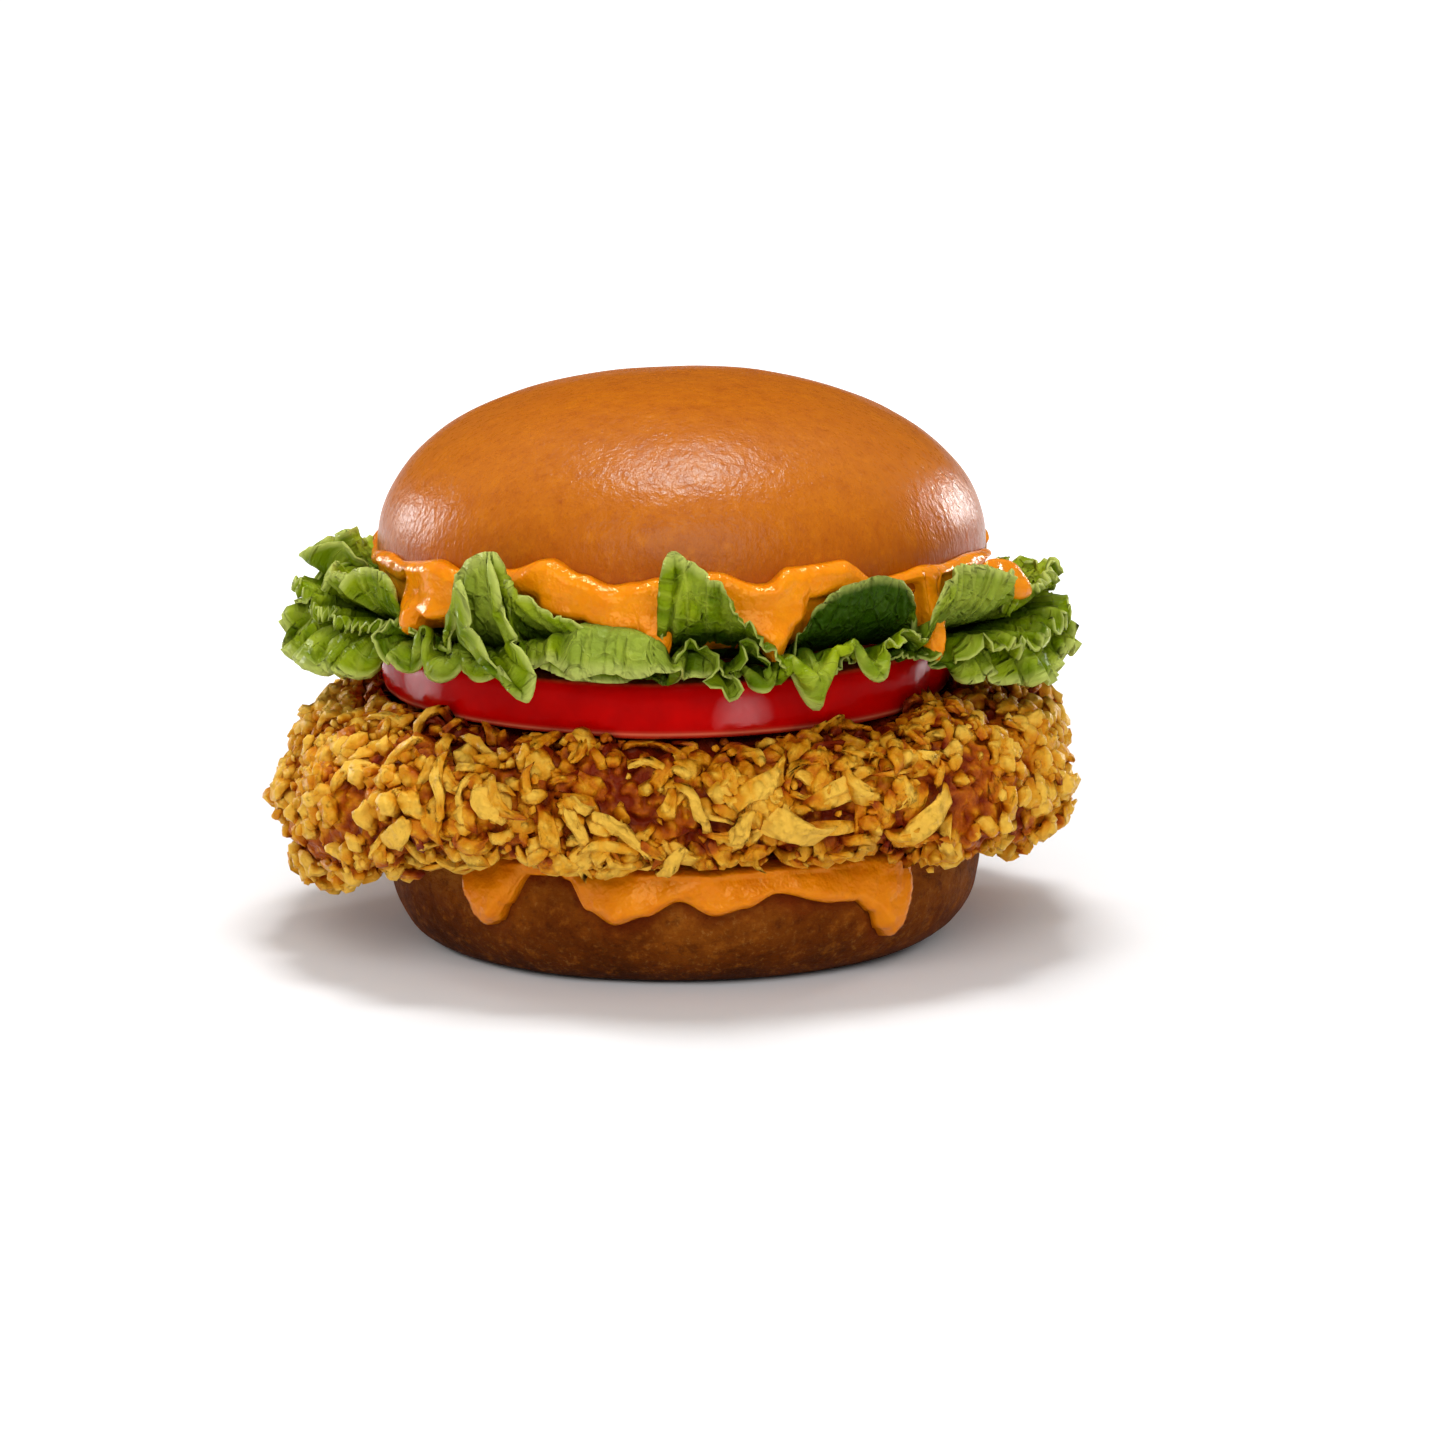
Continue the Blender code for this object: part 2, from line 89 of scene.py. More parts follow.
def rough_noise(points, size, seed=0, octaves=3):
    """Noise with finer and weaker noise on it."""
    total, weight = 0, 1
    for i in range(octaves):
        total = total + weight * noise(points, size / 2**i, seed + 17 * i)
        weight *= 0.5
    return total


def knobs(points, size, seed=0):
    """1 in the middle of each random cell, falling to about 0 at the creases between them."""
    scaled = np.asarray(points, float) / size + 1000.5
    cells = np.floor(scaled).astype(np.int64)
    nearest = np.full(scaled.shape[:-1], 9.0)
    for offset in np.ndindex(3, 3, 3):
        cell = cells + np.array(offset) - 1
        place = cell + 0.5 + 0.42 * np.stack([corner_values(cell, seed + k) for k in (1, 2, 3)], axis=-1)
        nearest = np.minimum(nearest, ((scaled - place) ** 2).sum(-1))
    return 1 - np.sqrt(nearest) / 0.85


def at(angle, radius, height):
    """Points at angles from the front, in radians, at radii from the axis and heights."""
    angle, radius, height = np.broadcast_arrays(angle, radius, height)
    return np.stack([radius * np.sin(angle), -radius * np.cos(angle), height], axis=-1)


def round_the_axis(count):
    """Evenly spaced angles from the back, -180 degrees, round to just before it."""
    return np.arange(count) * math.tau / count - math.pi


def uneven(angle, seed, size=1.3):
    """A gentle wobble round the axis, from about -1 to 1."""
    flat = np.stack([size * np.cos(angle), size * np.sin(angle), np.zeros_like(angle)], axis=-1)
    return noise(flat, 1.0, seed)


def around(table, angle):
    """A table's columns at some angles, going smoothly from each of its rows to the next."""
    rows = np.array(sorted(table), float)
    before, after = rows[-1:].copy(), rows[:1].copy()
    before[0, 0] -= 360
    after[0, 0] += 360
    rows = np.concatenate([before, rows, after])
    degrees = np.degrees(angle)
    index = np.clip(np.searchsorted(rows[:, 0], degrees, side="right") - 1, 0, len(rows) - 2)
    share = smooth((degrees - rows[index, 0]) / (rows[index + 1, 0] - rows[index, 0]))
    low, high = rows[index, 1:], rows[index + 1, 1:]
    return (low + (high - low) * share[..., None]).T


# Meshes


def mesh_of(name, points, quads, triangles=()):
    """A smooth-shaded mesh."""
    points = np.asarray(points, np.float32).reshape(-1, 3)
    quads = np.asarray(quads, np.int32).reshape(-1, 4)
    triangles = np.asarray(triangles, np.int32).reshape(-1, 3)
    corners = np.concatenate([quads.ravel(), triangles.ravel()])
    starts = np.concatenate([np.arange(len(quads)) * 4, len(quads) * 4 + np.arange(len(triangles)) * 3])
    mesh = bpy.data.meshes.new(name)
    mesh.vertices.add(len(points))
    mesh.vertices.foreach_set("co", points.ravel())
    mesh.loops.add(len(corners))
    mesh.loops.foreach_set("vertex_index", corners.astype(np.int32))
    mesh.polygons.add(len(starts))
    mesh.polygons.foreach_set("loop_start", starts.astype(np.int32))
    mesh.update(calc_edges=True)
    mesh.validate()
    mesh.shade_smooth()
    return mesh


def store(mesh, name, values):
    """Keeps a number for each point, which the looks read."""
    layer = mesh.attributes.new(name, "FLOAT", "POINT")
    layer.data.foreach_set("value", np.asarray(values, np.float32).ravel())


def piece(name, mesh, look, node=None):
    """A visible piece of the burger, standing for a node where one is named."""
    made = bpy.data.objects.new(name, mesh)
    bpy.context.scene.collection.objects.link(made)
    mesh.materials.append(look)
    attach(made, "root")
    if node:
        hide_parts(node)
    return made


def flat_rings(angles, radii, height):
    """Rings at one height, with radii in millimetres."""
    return np.array([at(angles, radius * MM, height + 0 * angles) for radius in radii])


def closed_mesh(name, rings):
    """A mesh through rings of points, with a pole in the first and the last ring, and its points."""
    rows, count = rings.shape[:2]
    points = np.concatenate([rings.reshape(-1, 3), [rings[0].mean(0)], [rings[-1].mean(0)]])
    i = np.arange(count)
    j = (i + 1) % count
    starts = np.arange(rows - 1) * count
    quads = [np.stack([row + i, row + count + i, row + count + j, row + j], axis=1) for row in starts]
    first, last = rows * count, rows * count + 1
    end = (rows - 1) * count
    fans = [
        np.stack([np.full(count, first), i, j], axis=1),
        np.stack([np.full(count, last), end + j, end + i], axis=1),
    ]
    return mesh_of(name, points, np.concatenate(quads), np.concatenate(fans)), points


def normals_of(grid):
    """Outward normals of a grid of rings, closed along its second axis."""
    down = np.gradient(grid, axis=0)
    across = np.roll(grid, -1, axis=1) - np.roll(grid, 1, axis=1)
    found = np.cross(down, across)
    return found / np.maximum(np.linalg.norm(found, axis=-1, keepdims=True), 1e-12)


# Looks


def look_of(name):
    """A new material, its node tree and its shader."""
    made = bpy.data.materials.new(name)
    made.use_nodes = True
    return made, made.node_tree, made.node_tree.nodes["Principled BSDF"]


def connect(tree, node, inputs):
    """Gives a node's inputs, named or numbered, their values, or links them to other nodes' outputs."""
    for name, value in inputs.items():
        if isinstance(value, bpy.types.NodeSocket):
            tree.links.new(value, node.inputs[name])
        else:
            node.inputs[name].default_value = value


def add(tree, kind, inputs=None, **settings):
    """A shader node with its settings and inputs."""
    made = tree.nodes.new(kind)
    for name, value in settings.items():
        setattr(made, name, value)
    connect(tree, made, inputs or {})
    return made


def vector_in(tree, how, *vectors):
    """A product of vectors, or the number that a length or a distance is."""
    made = add(tree, "ShaderNodeVectorMath", dict(enumerate(vectors)), operation=how)
    return made.outputs["Vector" if how == "MULTIPLY" else "Value"]


def place_in(tree, stretch=None):
    """The point being shaded, in metres, stretched along the axes."""
    place = add(tree, "ShaderNodeTexCoord").outputs["Object"]
    return vector_in(tree, "MULTIPLY", place, stretch) if stretch else place


def height_in(tree):
    """The height of the point being shaded."""
    return add(tree, "ShaderNodeSeparateXYZ", {0: place_in(tree)}).outputs["Z"]


def attribute_in(tree, name, output="Fac"):
    """What a mesh keeps for each of its points."""
    return add(tree, "ShaderNodeAttribute", attribute_name=name).outputs[output]


def noise_in(tree, place, scale, detail=3, rough=0.55):
    """Smooth noise, with scale bumps to the metre."""
    inputs = {"Vector": place, "Scale": scale, "Detail": detail, "Roughness": rough}
    return add(tree, "ShaderNodeTexNoise", inputs).outputs["Fac"]


def cells_in(tree, place, scale, feature):
    """How far each point lies from its cell's middle or edge."""
    inputs = {"Vector": place, "Scale": scale}
    return add(tree, "ShaderNodeTexVoronoi", inputs, feature=feature).outputs["Distance"]


def ramp_in(tree, share, stops):
    """A colour ramp over (place, linear colour) stops."""
    made = add(tree, "ShaderNodeValToRGB", {"Fac": share})
    ramp = made.color_ramp
    while len(ramp.elements) < len(stops):
        ramp.elements.new(0.5)
    for element, (place, colour) in zip(ramp.elements, stops):
        element.position = place
        element.color = (*colour, 1)
    return made.outputs["Color"]


def curve_in(tree, value, low, high, to_low=0.0, to_high=1.0):
    """A value brought from one range to another, and held there."""
    inputs = {"Value": value, "From Min": low, "From Max": high, "To Min": to_low, "To Max": to_high}
    return add(tree, "ShaderNodeMapRange", inputs).outputs["Result"]


def blend_in(tree, share, first, second):
    """From one colour to another by a share."""
    made = add(tree, "ShaderNodeMix", {"Factor": share}, data_type="RGBA")
    colours = [socket for socket in made.inputs if socket.type == "RGBA"]
    for socket, value in zip(colours, (first, second)):
        if isinstance(value, bpy.types.NodeSocket):
            tree.links.new(value, socket)
        else:
            socket.default_value = (*value, 1)
    return next(socket for socket in made.outputs if socket.type == "RGBA")


def math_in(tree, first, second, how="ADD"):
    """A sum, or what another operation gives."""
    return add(tree, "ShaderNodeMath", {0: first, 1: second}, operation=how).outputs[0]


def centred_in(tree, value, middle, gain):
    """How far a value lies above its middle, times a gain."""
    return math_in(tree, math_in(tree, value, middle, "SUBTRACT"), gain, "MULTIPLY")


def bump_in(tree, height, distance, strength=1.0, normal=None):
    """A normal tilted by a fine relief, on top of another one."""
    inputs = {"Height": height, "Distance": distance, "Strength": strength}
    if normal is not None:
        inputs["Normal"] = normal
    return add(tree, "ShaderNodeBump", inputs).outputs["Normal"]


def crown_look():
    """A glazed crust, with painted shade making it darker towards the rim, and with fine wrinkles and pores.
    """
    look, tree, shader = look_of("crown_crust")
    place, z = place_in(tree), height_in(tree)
    wander = noise_in(tree, place, 38, 4, 0.6)
    # Painted shade: the crust darkens from the top down towards the rim and the cut face.
    level = math_in(tree, curve_in(tree, z, 0.057, 0.093), centred_in(tree, wander, 0.5, 0.22))
    crust = ramp_in(tree, level, (
        (0.0, (0.30, 0.055, 0.0005)), (0.25, (0.36, 0.074, 0.0005)), (0.45, (0.42, 0.102, 0.0005)),
        (0.65, (0.47, 0.124, 0.0005)), (1.0, (0.45, 0.113, 0.0005)),
    ))
    mottle = noise_in(tree, place, 330, 4, 0.7)
    crust = blend_in(tree, curve_in(tree, mottle, 0.52, 0.70, 0, 0.45), crust, (0.56, 0.165, 0.0005))
    crust = blend_in(tree, curve_in(tree, mottle, 0.48, 0.32, 0, 0.40), crust, (0.32, 0.062, 0.0005))
    streaks = noise_in(tree, place_in(tree, (1, 1, 0.22)), 900, 3, 0.6)
    crust = blend_in(tree, curve_in(tree, streaks, 0.5, 0.85, 0, 0.14), crust, (0.58, 0.175, 0.006))
    spots = noise_in(tree, place, 1500, 2, 0.5)
    crust = blend_in(tree, curve_in(tree, spots, 0.57, 0.78, 0, 0.5), crust, (0.30, 0.055, 0.002))
    glaze = curve_in(tree, z, 0.070, 0.079, 0.12, 0.27)
    glaze = math_in(tree, glaze, curve_in(tree, z, 0.086, 0.091, 1.0, 0.4), "MULTIPLY")
    wrinkles = bump_in(tree, noise_in(tree, place_in(tree, (1, 1, 0.5)), 700, 3, 0.6), 0.00042, 0.55)
    connect(tree, shader, {
        "Base Color": crust,
        "Roughness": curve_in(tree, streaks, 0.3, 0.7, 0.25, 0.33),
        "Specular IOR Level": glaze,
        "Specular Tint": (0.5, 0.92, 1.0, 1),
        "Normal": bump_in(tree, spots, 0.00012, 0.6, wrinkles),
    })
    return look


def heel_look():
    """A matte brown crust, mottled and floury, with painted shade darkening it towards its foot, and darker
    in a band just under the sauce's edge.
    """
    look, tree, shader = look_of("heel_crust")
    place = place_in(tree)
    wander = noise_in(tree, place, 75, 5, 0.68)
    # Painted shade: the crust darkens towards the heel's foot.
    level = math_in(tree, curve_in(tree, height_in(tree), 0.0, 0.019), centred_in(tree, wander, 0.5, 1.7))
    crust = ramp_in(tree, level, (
        (0.0, (0.060, 0.012, 0.001)), (0.35, (0.135, 0.028, 0.001)), (0.75, (0.23, 0.058, 0.003)),
        (1.0, (0.38, 0.130, 0.014)),
    ))
    flour = noise_in(tree, place, 1000, 5, 0.75)
    dusty = curve_in(tree, flour, 0.55, 0.72, 0, 0.75)
    dusty = math_in(tree, dusty, curve_in(tree, wander, 0.4, 0.6, 0.35, 1.0), "MULTIPLY")
    crust = blend_in(tree, dusty, crust, (0.38, 0.160, 0.034))
    grain = noise_in(tree, place, 430, 4, 0.7)
    crust = blend_in(tree, curve_in(tree, grain, 0.46, 0.34, 0, 0.55), crust, (0.060, 0.010, 0.0005))
    crust = blend_in(tree, curve_in(tree, grain, 0.54, 0.68, 0, 0.50), crust, (0.34, 0.100, 0.008))
    # Darker in a band just under the lower sauce's edge, less so in some places.
    under_sauce_band = curve_in(tree, wander, 0.35, 0.6, 0.9, 0.45)
    under_sauce_band = math_in(tree, attribute_in(tree, "under_sauce_band"), under_sauce_band, "MULTIPLY")
    wrinkles = bump_in(tree, noise_in(tree, place_in(tree, (1, 1, 2)), 260, 4, 0.6), 0.0014, 0.7)
    connect(tree, shader, {
        "Base Color": blend_in(tree, under_sauce_band, crust, (0.135, 0.016, 0.001)),
        "Roughness": 0.62,
        "Specular IOR Level": 0.04,
        "Normal": bump_in(tree, flour, 0.0006, 0.6, wrinkles),
    })
    return look


def tomato_look():
    """Wet skin round the side, with a painted highlight as a paler line along its lower rim, and the seeded
    cut faces.
    """
    look, tree, shader = look_of("tomato")
    place = place_in(tree)
    red = ramp_in(tree, noise_in(tree, place, 160, 3, 0.6), (
        (0.3, (0.46, 0.0004, 0.0004)), (0.7, (0.60, 0.0008, 0.0004)),
    ))
    flesh = ramp_in(tree, noise_in(tree, place, 300, 3, 0.6), (
        (0.35, (0.50, 0.02, 0.006)), (0.7, (0.72, 0.12, 0.03)),
    ))
    colour = blend_in(tree, curve_in(tree, attribute_in(tree, "skin"), 0.25, 0.7), flesh, red)
    # Painted highlight: a paler line along the skin's lower rim.
    rim = curve_in(tree, attribute_in(tree, "rim"), 0.0, 1.0, 0.0, 0.8)
    wet = 0.03
    for angle, height, half_width in WET_PATCHES:
        turn = math.radians(angle)
        radius = TOMATO_RADIUS + TOMATO_SHIFT * math.sin(turn)
        spot = (radius * math.sin(turn), -radius * math.cos(turn), height)
        near = vector_in(tree, "DISTANCE", place, spot)
        wet = math_in(tree, wet, curve_in(tree, near, half_width, 0.3 * half_width, 0.0, 1.0))
    connect(tree, shader, {
        "Base Color": blend_in(tree, rim, colour, (0.80, 0.20, 0.10)),
        "Roughness": 0.16,
        "Specular IOR Level": wet,
        "Specular Tint": (1.0, 0.75, 0.75, 1),
        "Subsurface Weight": 0.12,
        "Subsurface Radius": (0.004, 0.0008, 0.0004),
        "Normal": bump_in(tree, noise_in(tree, place, 350, 2, 0.5), 0.0005, 0.25),
    })
    return look


# The two halves of the bun

CROWN_RADIUS = 50 * MM
CROWN_WIDEST_Z = 65 * MM
CROWN_RISE = 28 * MM
CROWN_ROUNDNESS = 2.15
CROWN_DROP = 8 * MM
CROWN_TUCK = 7 * MM
CROWN_CUT_Z = CROWN_WIDEST_Z - CROWN_DROP
HEEL_RADIUS = 49.3 * MM
HEEL_WIDEST_Z = 12.5 * MM
HEEL_CUT_Z = 19 * MM
HEEL_FOOT_RADIUS = 39.6 * MM
HEEL_FOOT_SHIFT = 1.8 * MM
HEEL_SHORTER_IN_FRONT = 0.065
HEEL_CUT_RADIUS = 47.5 * MM
BUN_UNEVEN = 0.012
BUN_COLUMNS = 320


def crown_radius(angle, height):
    """The crown's outside: a superellipse above its widest level, a quarter ellipse below it."""
    above = np.clip((height - CROWN_WIDEST_Z) / CROWN_RISE, 0, 1)
    below = np.clip((CROWN_WIDEST_Z - height) / CROWN_DROP, 0, 1)
    dome = CROWN_RADIUS * (1 - above**CROWN_ROUNDNESS) ** (1 / CROWN_ROUNDNESS)
    rim = CROWN_RADIUS - CROWN_TUCK * (1 - np.sqrt(1 - below * below))
    return np.where(height >= CROWN_WIDEST_Z, dome, rim) * (1 + BUN_UNEVEN * uneven(angle, 1))


def make_crown():
    """A dome with a rim tucked in to its flat cut face."""
    angles = round_the_axis(BUN_COLUMNS)[None, :]
    lifts = np.radians(np.linspace(1.2, 90, 80))[:, None]
    heights = CROWN_WIDEST_Z + CROWN_RISE * np.cos(lifts) ** (2 / CROWN_ROUNDNESS)
    rim = CROWN_WIDEST_Z - CROWN_DROP * np.sin(np.radians(np.linspace(6, 90, 14)))[:, None]
    heights = np.concatenate([heights, rim])
    grid = at(angles, crown_radius(angles, heights), heights)
    swells = 0.35 * MM * noise(grid, 22 * MM, 3) + 0.12 * MM * noise(grid, 7 * MM, 4)
    grid = grid + normals_of(grid) * swells[..., None]
    inner = flat_rings(angles[0], (42, 36, 20, 4), CROWN_CUT_Z)
    mesh, _ = closed_mesh("crown", np.concatenate([grid, inner]))
    piece("crown", mesh, crown_look(), "bun_crown")


def heel_radius(angle, height):
    """The heel's outside: it leans in to its cut face, and rounds under to its foot."""
    above = np.clip((height - HEEL_WIDEST_Z) / (HEEL_CUT_Z - HEEL_WIDEST_Z), 0, 1)
    below = np.clip((HEEL_WIDEST_Z - height) / HEEL_WIDEST_Z, 0, 1)
    upper = HEEL_RADIUS - (HEEL_RADIUS - HEEL_CUT_RADIUS) * above * above
    foot = HEEL_FOOT_RADIUS - HEEL_FOOT_SHIFT * np.sin(angle)
    lower = HEEL_RADIUS - (HEEL_RADIUS - foot) * (1 - np.sqrt(1 - below * below))
    front = 1 - HEEL_SHORTER_IN_FRONT * np.maximum(np.cos(angle), 0) ** 2
    return np.where(height >= HEEL_WIDEST_Z, upper, lower) * (1 + BUN_UNEVEN * uneven(angle, 5)) * front


def make_heel():
    """It widens towards its cut face, and keeps how near each point lies under the lower sauce's edge."""
    angles = round_the_axis(BUN_COLUMNS)[None, :]
    upper = np.linspace(HEEL_CUT_Z, HEEL_WIDEST_Z, 16)[:, None]
    lower = HEEL_WIDEST_Z * np.cos(np.radians(np.linspace(3, 90, 30)))[:, None]
    heights = np.concatenate([upper, lower])
    grid = at(angles, heel_radius(angles, heights), heights)
    wrinkles = 0.3 * MM * noise(grid, 14 * MM, 6) + 0.12 * MM * noise(grid, 3 * MM, 7)
    wrinkles = wrinkles * smooth(heights / (3 * MM))
    grid = grid + normals_of(grid) * wrinkles[..., None]
    tops = flat_rings(angles[0], (10, 30, 42), HEEL_CUT_Z)
    bottoms = flat_rings(angles[0], (33, 20, 4), 0)
    mesh, points = closed_mesh("heel", np.concatenate([tops, grid, bottoms]))
    # How near each point lies under the lower sauce's edge, which the crust's colour darkens.
    from_sauce = lower_edge(np.arctan2(points[:, 0], -points[:, 1])) - points[:, 2]
    store(mesh, "under_sauce_band", smooth(1 - from_sauce / (3.6 * MM + 1.6 * MM * noise(points, 5 * MM, 46))))
    piece("heel", mesh, heel_look(), "bun_heel")


# The tomato slice

TOMATO_RADIUS = 47.3 * MM
TOMATO_SHIFT = -2.8 * MM
TOMATO_BOTTOM_Z = 41.6 * MM
TOMATO_THICKNESS = 9 * MM
TOMATO_TOP_Z = TOMATO_BOTTOM_Z + TOMATO_THICKNESS
TOMATO_COLUMNS = 300
TOMATO_SIDE_ROWS = 25
TOMATO_FACE_RADII = (8, 25, 42)
# Where the tomato's skin is wet: angle in degrees, height and half width
WET_PATCHES = ((-58, 47.2 * MM, 6.2 * MM), (12, 44.6 * MM, 5.4 * MM), (61, 46.8 * MM, 3.2 * MM))


def make_tomato():
    """A slice with rounded edges, which lies a little to the left."""
    angles = round_the_axis(TOMATO_COLUMNS)[None, :]
    turn = np.radians(np.linspace(-88, 88, TOMATO_SIDE_ROWS))[:, None]
    heights = TOMATO_BOTTOM_Z + TOMATO_THICKNESS / 2 * (1 - np.sign(turn) * np.abs(np.sin(turn)) ** 0.8)
    radii = TOMATO_RADIUS - 1.6 * MM + 1.6 * MM * np.cos(turn) ** 0.55
    radii = radii * (1 + 0.012 * uneven(angles, 9, 0.8)) + TOMATO_SHIFT * np.sin(angles)
    side = at(angles, radii, heights + 0 * angles)
    side = side + normals_of(side) * (0.3 * MM * noise(side, 12 * MM, 8))[..., None]
    tops = flat_rings(angles[0], TOMATO_FACE_RADII, TOMATO_TOP_Z)
    bottoms = flat_rings(angles[0], TOMATO_FACE_RADII[::-1], TOMATO_BOTTOM_Z)
    mesh, _ = closed_mesh("tomato", np.concatenate([tops, side, bottoms]))
    faces = len(TOMATO_FACE_RADII)
    for name, values in (
        ("skin", np.cos(turn) ** 0.7),
        # Painted highlight: where the paler line runs along the skin's lower rim.
        ("rim", np.exp(-(((np.degrees(turn) - 52) / 6) ** 2))),
    ):
        layer = np.zeros((TOMATO_SIDE_ROWS + 2 * faces, TOMATO_COLUMNS))
        layer[faces:-faces] = values
        store(mesh, name, np.append(layer, (0, 0)))
    piece("tomato", mesh, tomato_look(), "tomato_slice")


# The fried fillet

FILLET_HALF_LENGTH = 63 * MM
FILLET_SHIFT = -2.0 * MM
FILLET_HALF_DEPTH = 53.5 * MM
FILLET_SQUARENESS = 2.5
FILLET_SIDE_POWER = 0.4
FILLET_RISE_POWER = 0.62
FILLET_MID_Z = 31.2 * MM
FILLET_HALF_THICKNESS = 11 * MM
LOBE_EXTRA_THICKNESS = 6 * MM
LEFT_LOBE_DROP = 8.4 * MM
RIGHT_LOBE_DROP = 4.2 * MM
END_TAPER = 0.40
LOBE_START = 34 * MM
UNDER_TOMATO_Z = TOMATO_BOTTOM_Z - 0.4 * MM
OVER_SAUCE_Z = HEEL_CUT_Z + 2.2 * MM
OVER_SAUCE_RADIUS = 51.3 * MM
FILLET_COLUMNS = 780
FILLET_ROWS = 120


def fillet_point(angle, lift):
    """The fillet's smooth outside, at angles round it and lifts from -90 degrees, below, to 90, on top."""
    c, s = np.abs(np.cos(angle)), np.abs(np.sin(angle))
    power = FILLET_SQUARENESS
    reach = ((s / FILLET_HALF_LENGTH) ** power + (c / FILLET_HALF_DEPTH) ** power) ** (-1 / power)
    reach = reach * (1 + 0.05 * uneven(angle, 40, 1.6))
    end = smooth((s * reach - LOBE_START) / (FILLET_HALF_LENGTH - LOBE_START)) * (lift < 0)
    radius = reach * np.cos(lift) ** (FILLET_SIDE_POWER + END_TAPER * end)
    rise = np.sign(lift) * np.abs(np.sin(lift)) ** FILLET_RISE_POWER
    point = at(angle, radius, 0 * radius)
    lobe = smooth((np.abs(point[..., 0]) - LOBE_START) / (FILLET_HALF_LENGTH - LOBE_START))
    drop = np.where(point[..., 0] < 0, LEFT_LOBE_DROP, RIGHT_LOBE_DROP)
    point[..., 2] = FILLET_MID_Z - drop * lobe + (FILLET_HALF_THICKNESS + LOBE_EXTRA_THICKNESS * lobe) * rise
    point[..., 0] += FILLET_SHIFT
    return point


def make_room(points):
    """Presses points down under the tomato, and up over the lower sauce."""
    points = points.copy()
    radius = np.hypot(points[..., 0], points[..., 1])
    from_tomato = np.hypot(points[..., 0] - TOMATO_SHIFT, points[..., 1])
    under = (from_tomato < TOMATO_RADIUS + 1 * MM) & (points[..., 2] > UNDER_TOMATO_Z)
    points[..., 2] = np.where(under, UNDER_TOMATO_Z, points[..., 2])
    over = (radius < OVER_SAUCE_RADIUS) & (points[..., 2] < OVER_SAUCE_Z)
    points[..., 2] = np.where(over, OVER_SAUCE_Z, points[..., 2])
    return points


def crag_height(points):
    """The crust's relief, in metres: large knobs, small knobs on them and grain on those."""
    large = knobs(points, 12 * MM, 50)
    small = knobs(points, 4.6 * MM, 60)
    fine = knobs(points, 2.3 * MM, 80)
    grain = rough_noise(points, 1.6 * MM, 70, 2)
    return (3.6 * (large - 0.45) + 2.0 * (small - 0.4) + 1.1 * (fine - 0.4) + 0.4 * grain) * MM


def crust_look():
    """Fried crust, with painted shade: dark red-brown in its creases and under the tomato's edge, golden at
    its tips; each flake has a tone of its own.
    """
    look, tree, shader = look_of("fried_crust")
    place = place_in(tree)
    patches = noise_in(tree, place, 170, 4, 0.65)
    grain = noise_in(tree, place, 900, 3, 0.6)
    curds = curve_in(tree, cells_in(tree, place, 640, "SMOOTH_F1"), 0.1, 0.75, 1.0, 0.0)
    from_axis = vector_in(tree, "LENGTH", place_in(tree, (1, 1, 0)))
    inward = curve_in(tree, from_axis, 0.050, 0.058, 1, 0)
    # Painted shade: the fillet's top is darker where it lies in under the tomato.
    shaded = math_in(tree, inward, curve_in(tree, height_in(tree), 0.0345, 0.041), "MULTIPLY")
    across = add(tree, "ShaderNodeSeparateXYZ", {0: place}).outputs["X"]
    aside = math_in(tree, math_in(tree, across, -FILLET_SHIFT), 0.0, "ABSOLUTE")
    # Painted shade: the tip level is low in creases and at flakes' bases, and high at tips.
    level = attribute_in(tree, "tip")
    for change in (
        centred_in(tree, patches, 0.5, 0.55),
        centred_in(tree, grain, 0.5, 0.3),
        math_in(tree, attribute_in(tree, "tone"), 0.22, "MULTIPLY"),
        centred_in(tree, curds, 0.62, 0.42),
        math_in(tree, shaded, -0.32, "MULTIPLY"),
        curve_in(tree, aside, 0.040, 0.056, 0.0, 0.12),
    ):
        level = math_in(tree, level, change)
    bumps = bump_in(tree, grain, 0.0004, 0.6, bump_in(tree, curds, 0.0011, 0.8))
    connect(tree, shader, {
        "Base Color": ramp_in(tree, level, (
            (0.05, (0.17, 0.011, 0.001)), (0.3, (0.40, 0.078, 0.001)), (0.5, (0.60, 0.200, 0.003)),
            (0.72, (0.70, 0.310, 0.014)), (1.0, (0.82, 0.470, 0.055)),
        )),
        "Roughness": 0.42,
        "Specular IOR Level": 0.2,
        "Specular Tint": (1.0, 0.75, 0.45, 1),
        "Normal": bump_in(tree, noise_in(tree, place, 2600, 2, 0.5), 0.00015, 0.5, bumps),
    })
    return look


def make_fillet(look):
    """The fillet without its flakes. It returns its outside and how thick flakes lie on it."""
    angles = round_the_axis(FILLET_COLUMNS)[None, :]
    lifts = np.radians(np.linspace(86, -86, FILLET_ROWS))[:, None]
    angles, lifts = np.broadcast_arrays(angles, lifts)
    smooth_grid = fillet_point(angles, lifts)
    crag = crag_height(smooth_grid)
    grid = make_room(smooth_grid + normals_of(smooth_grid) * crag[..., None])
    mesh, points = closed_mesh("fillet_core", grid)
    # Painted shade: the tip level falls in the crust's creases.
    store(mesh, "tip", np.append(0.35 + crag / (7 * MM), (0.3, 0.3)))
    store(mesh, "tone", np.full(len(points), -0.1))
    piece("fillet_core", mesh, look, "fillet")
    return grid, 0.12 + smooth((crag / MM + 1.0) / 2.2)


def ball(finer):
    """A unit ball's points and triangles."""
    shape = bmesh.new()
    bmesh.ops.create_icosphere(shape, subdivisions=finer, radius=1)
    points = np.array([v.co[:] for v in shape.verts])
    faces = np.array([[v.index for v in f.verts] for f in shape.faces])
    shape.free()
    return points, faces


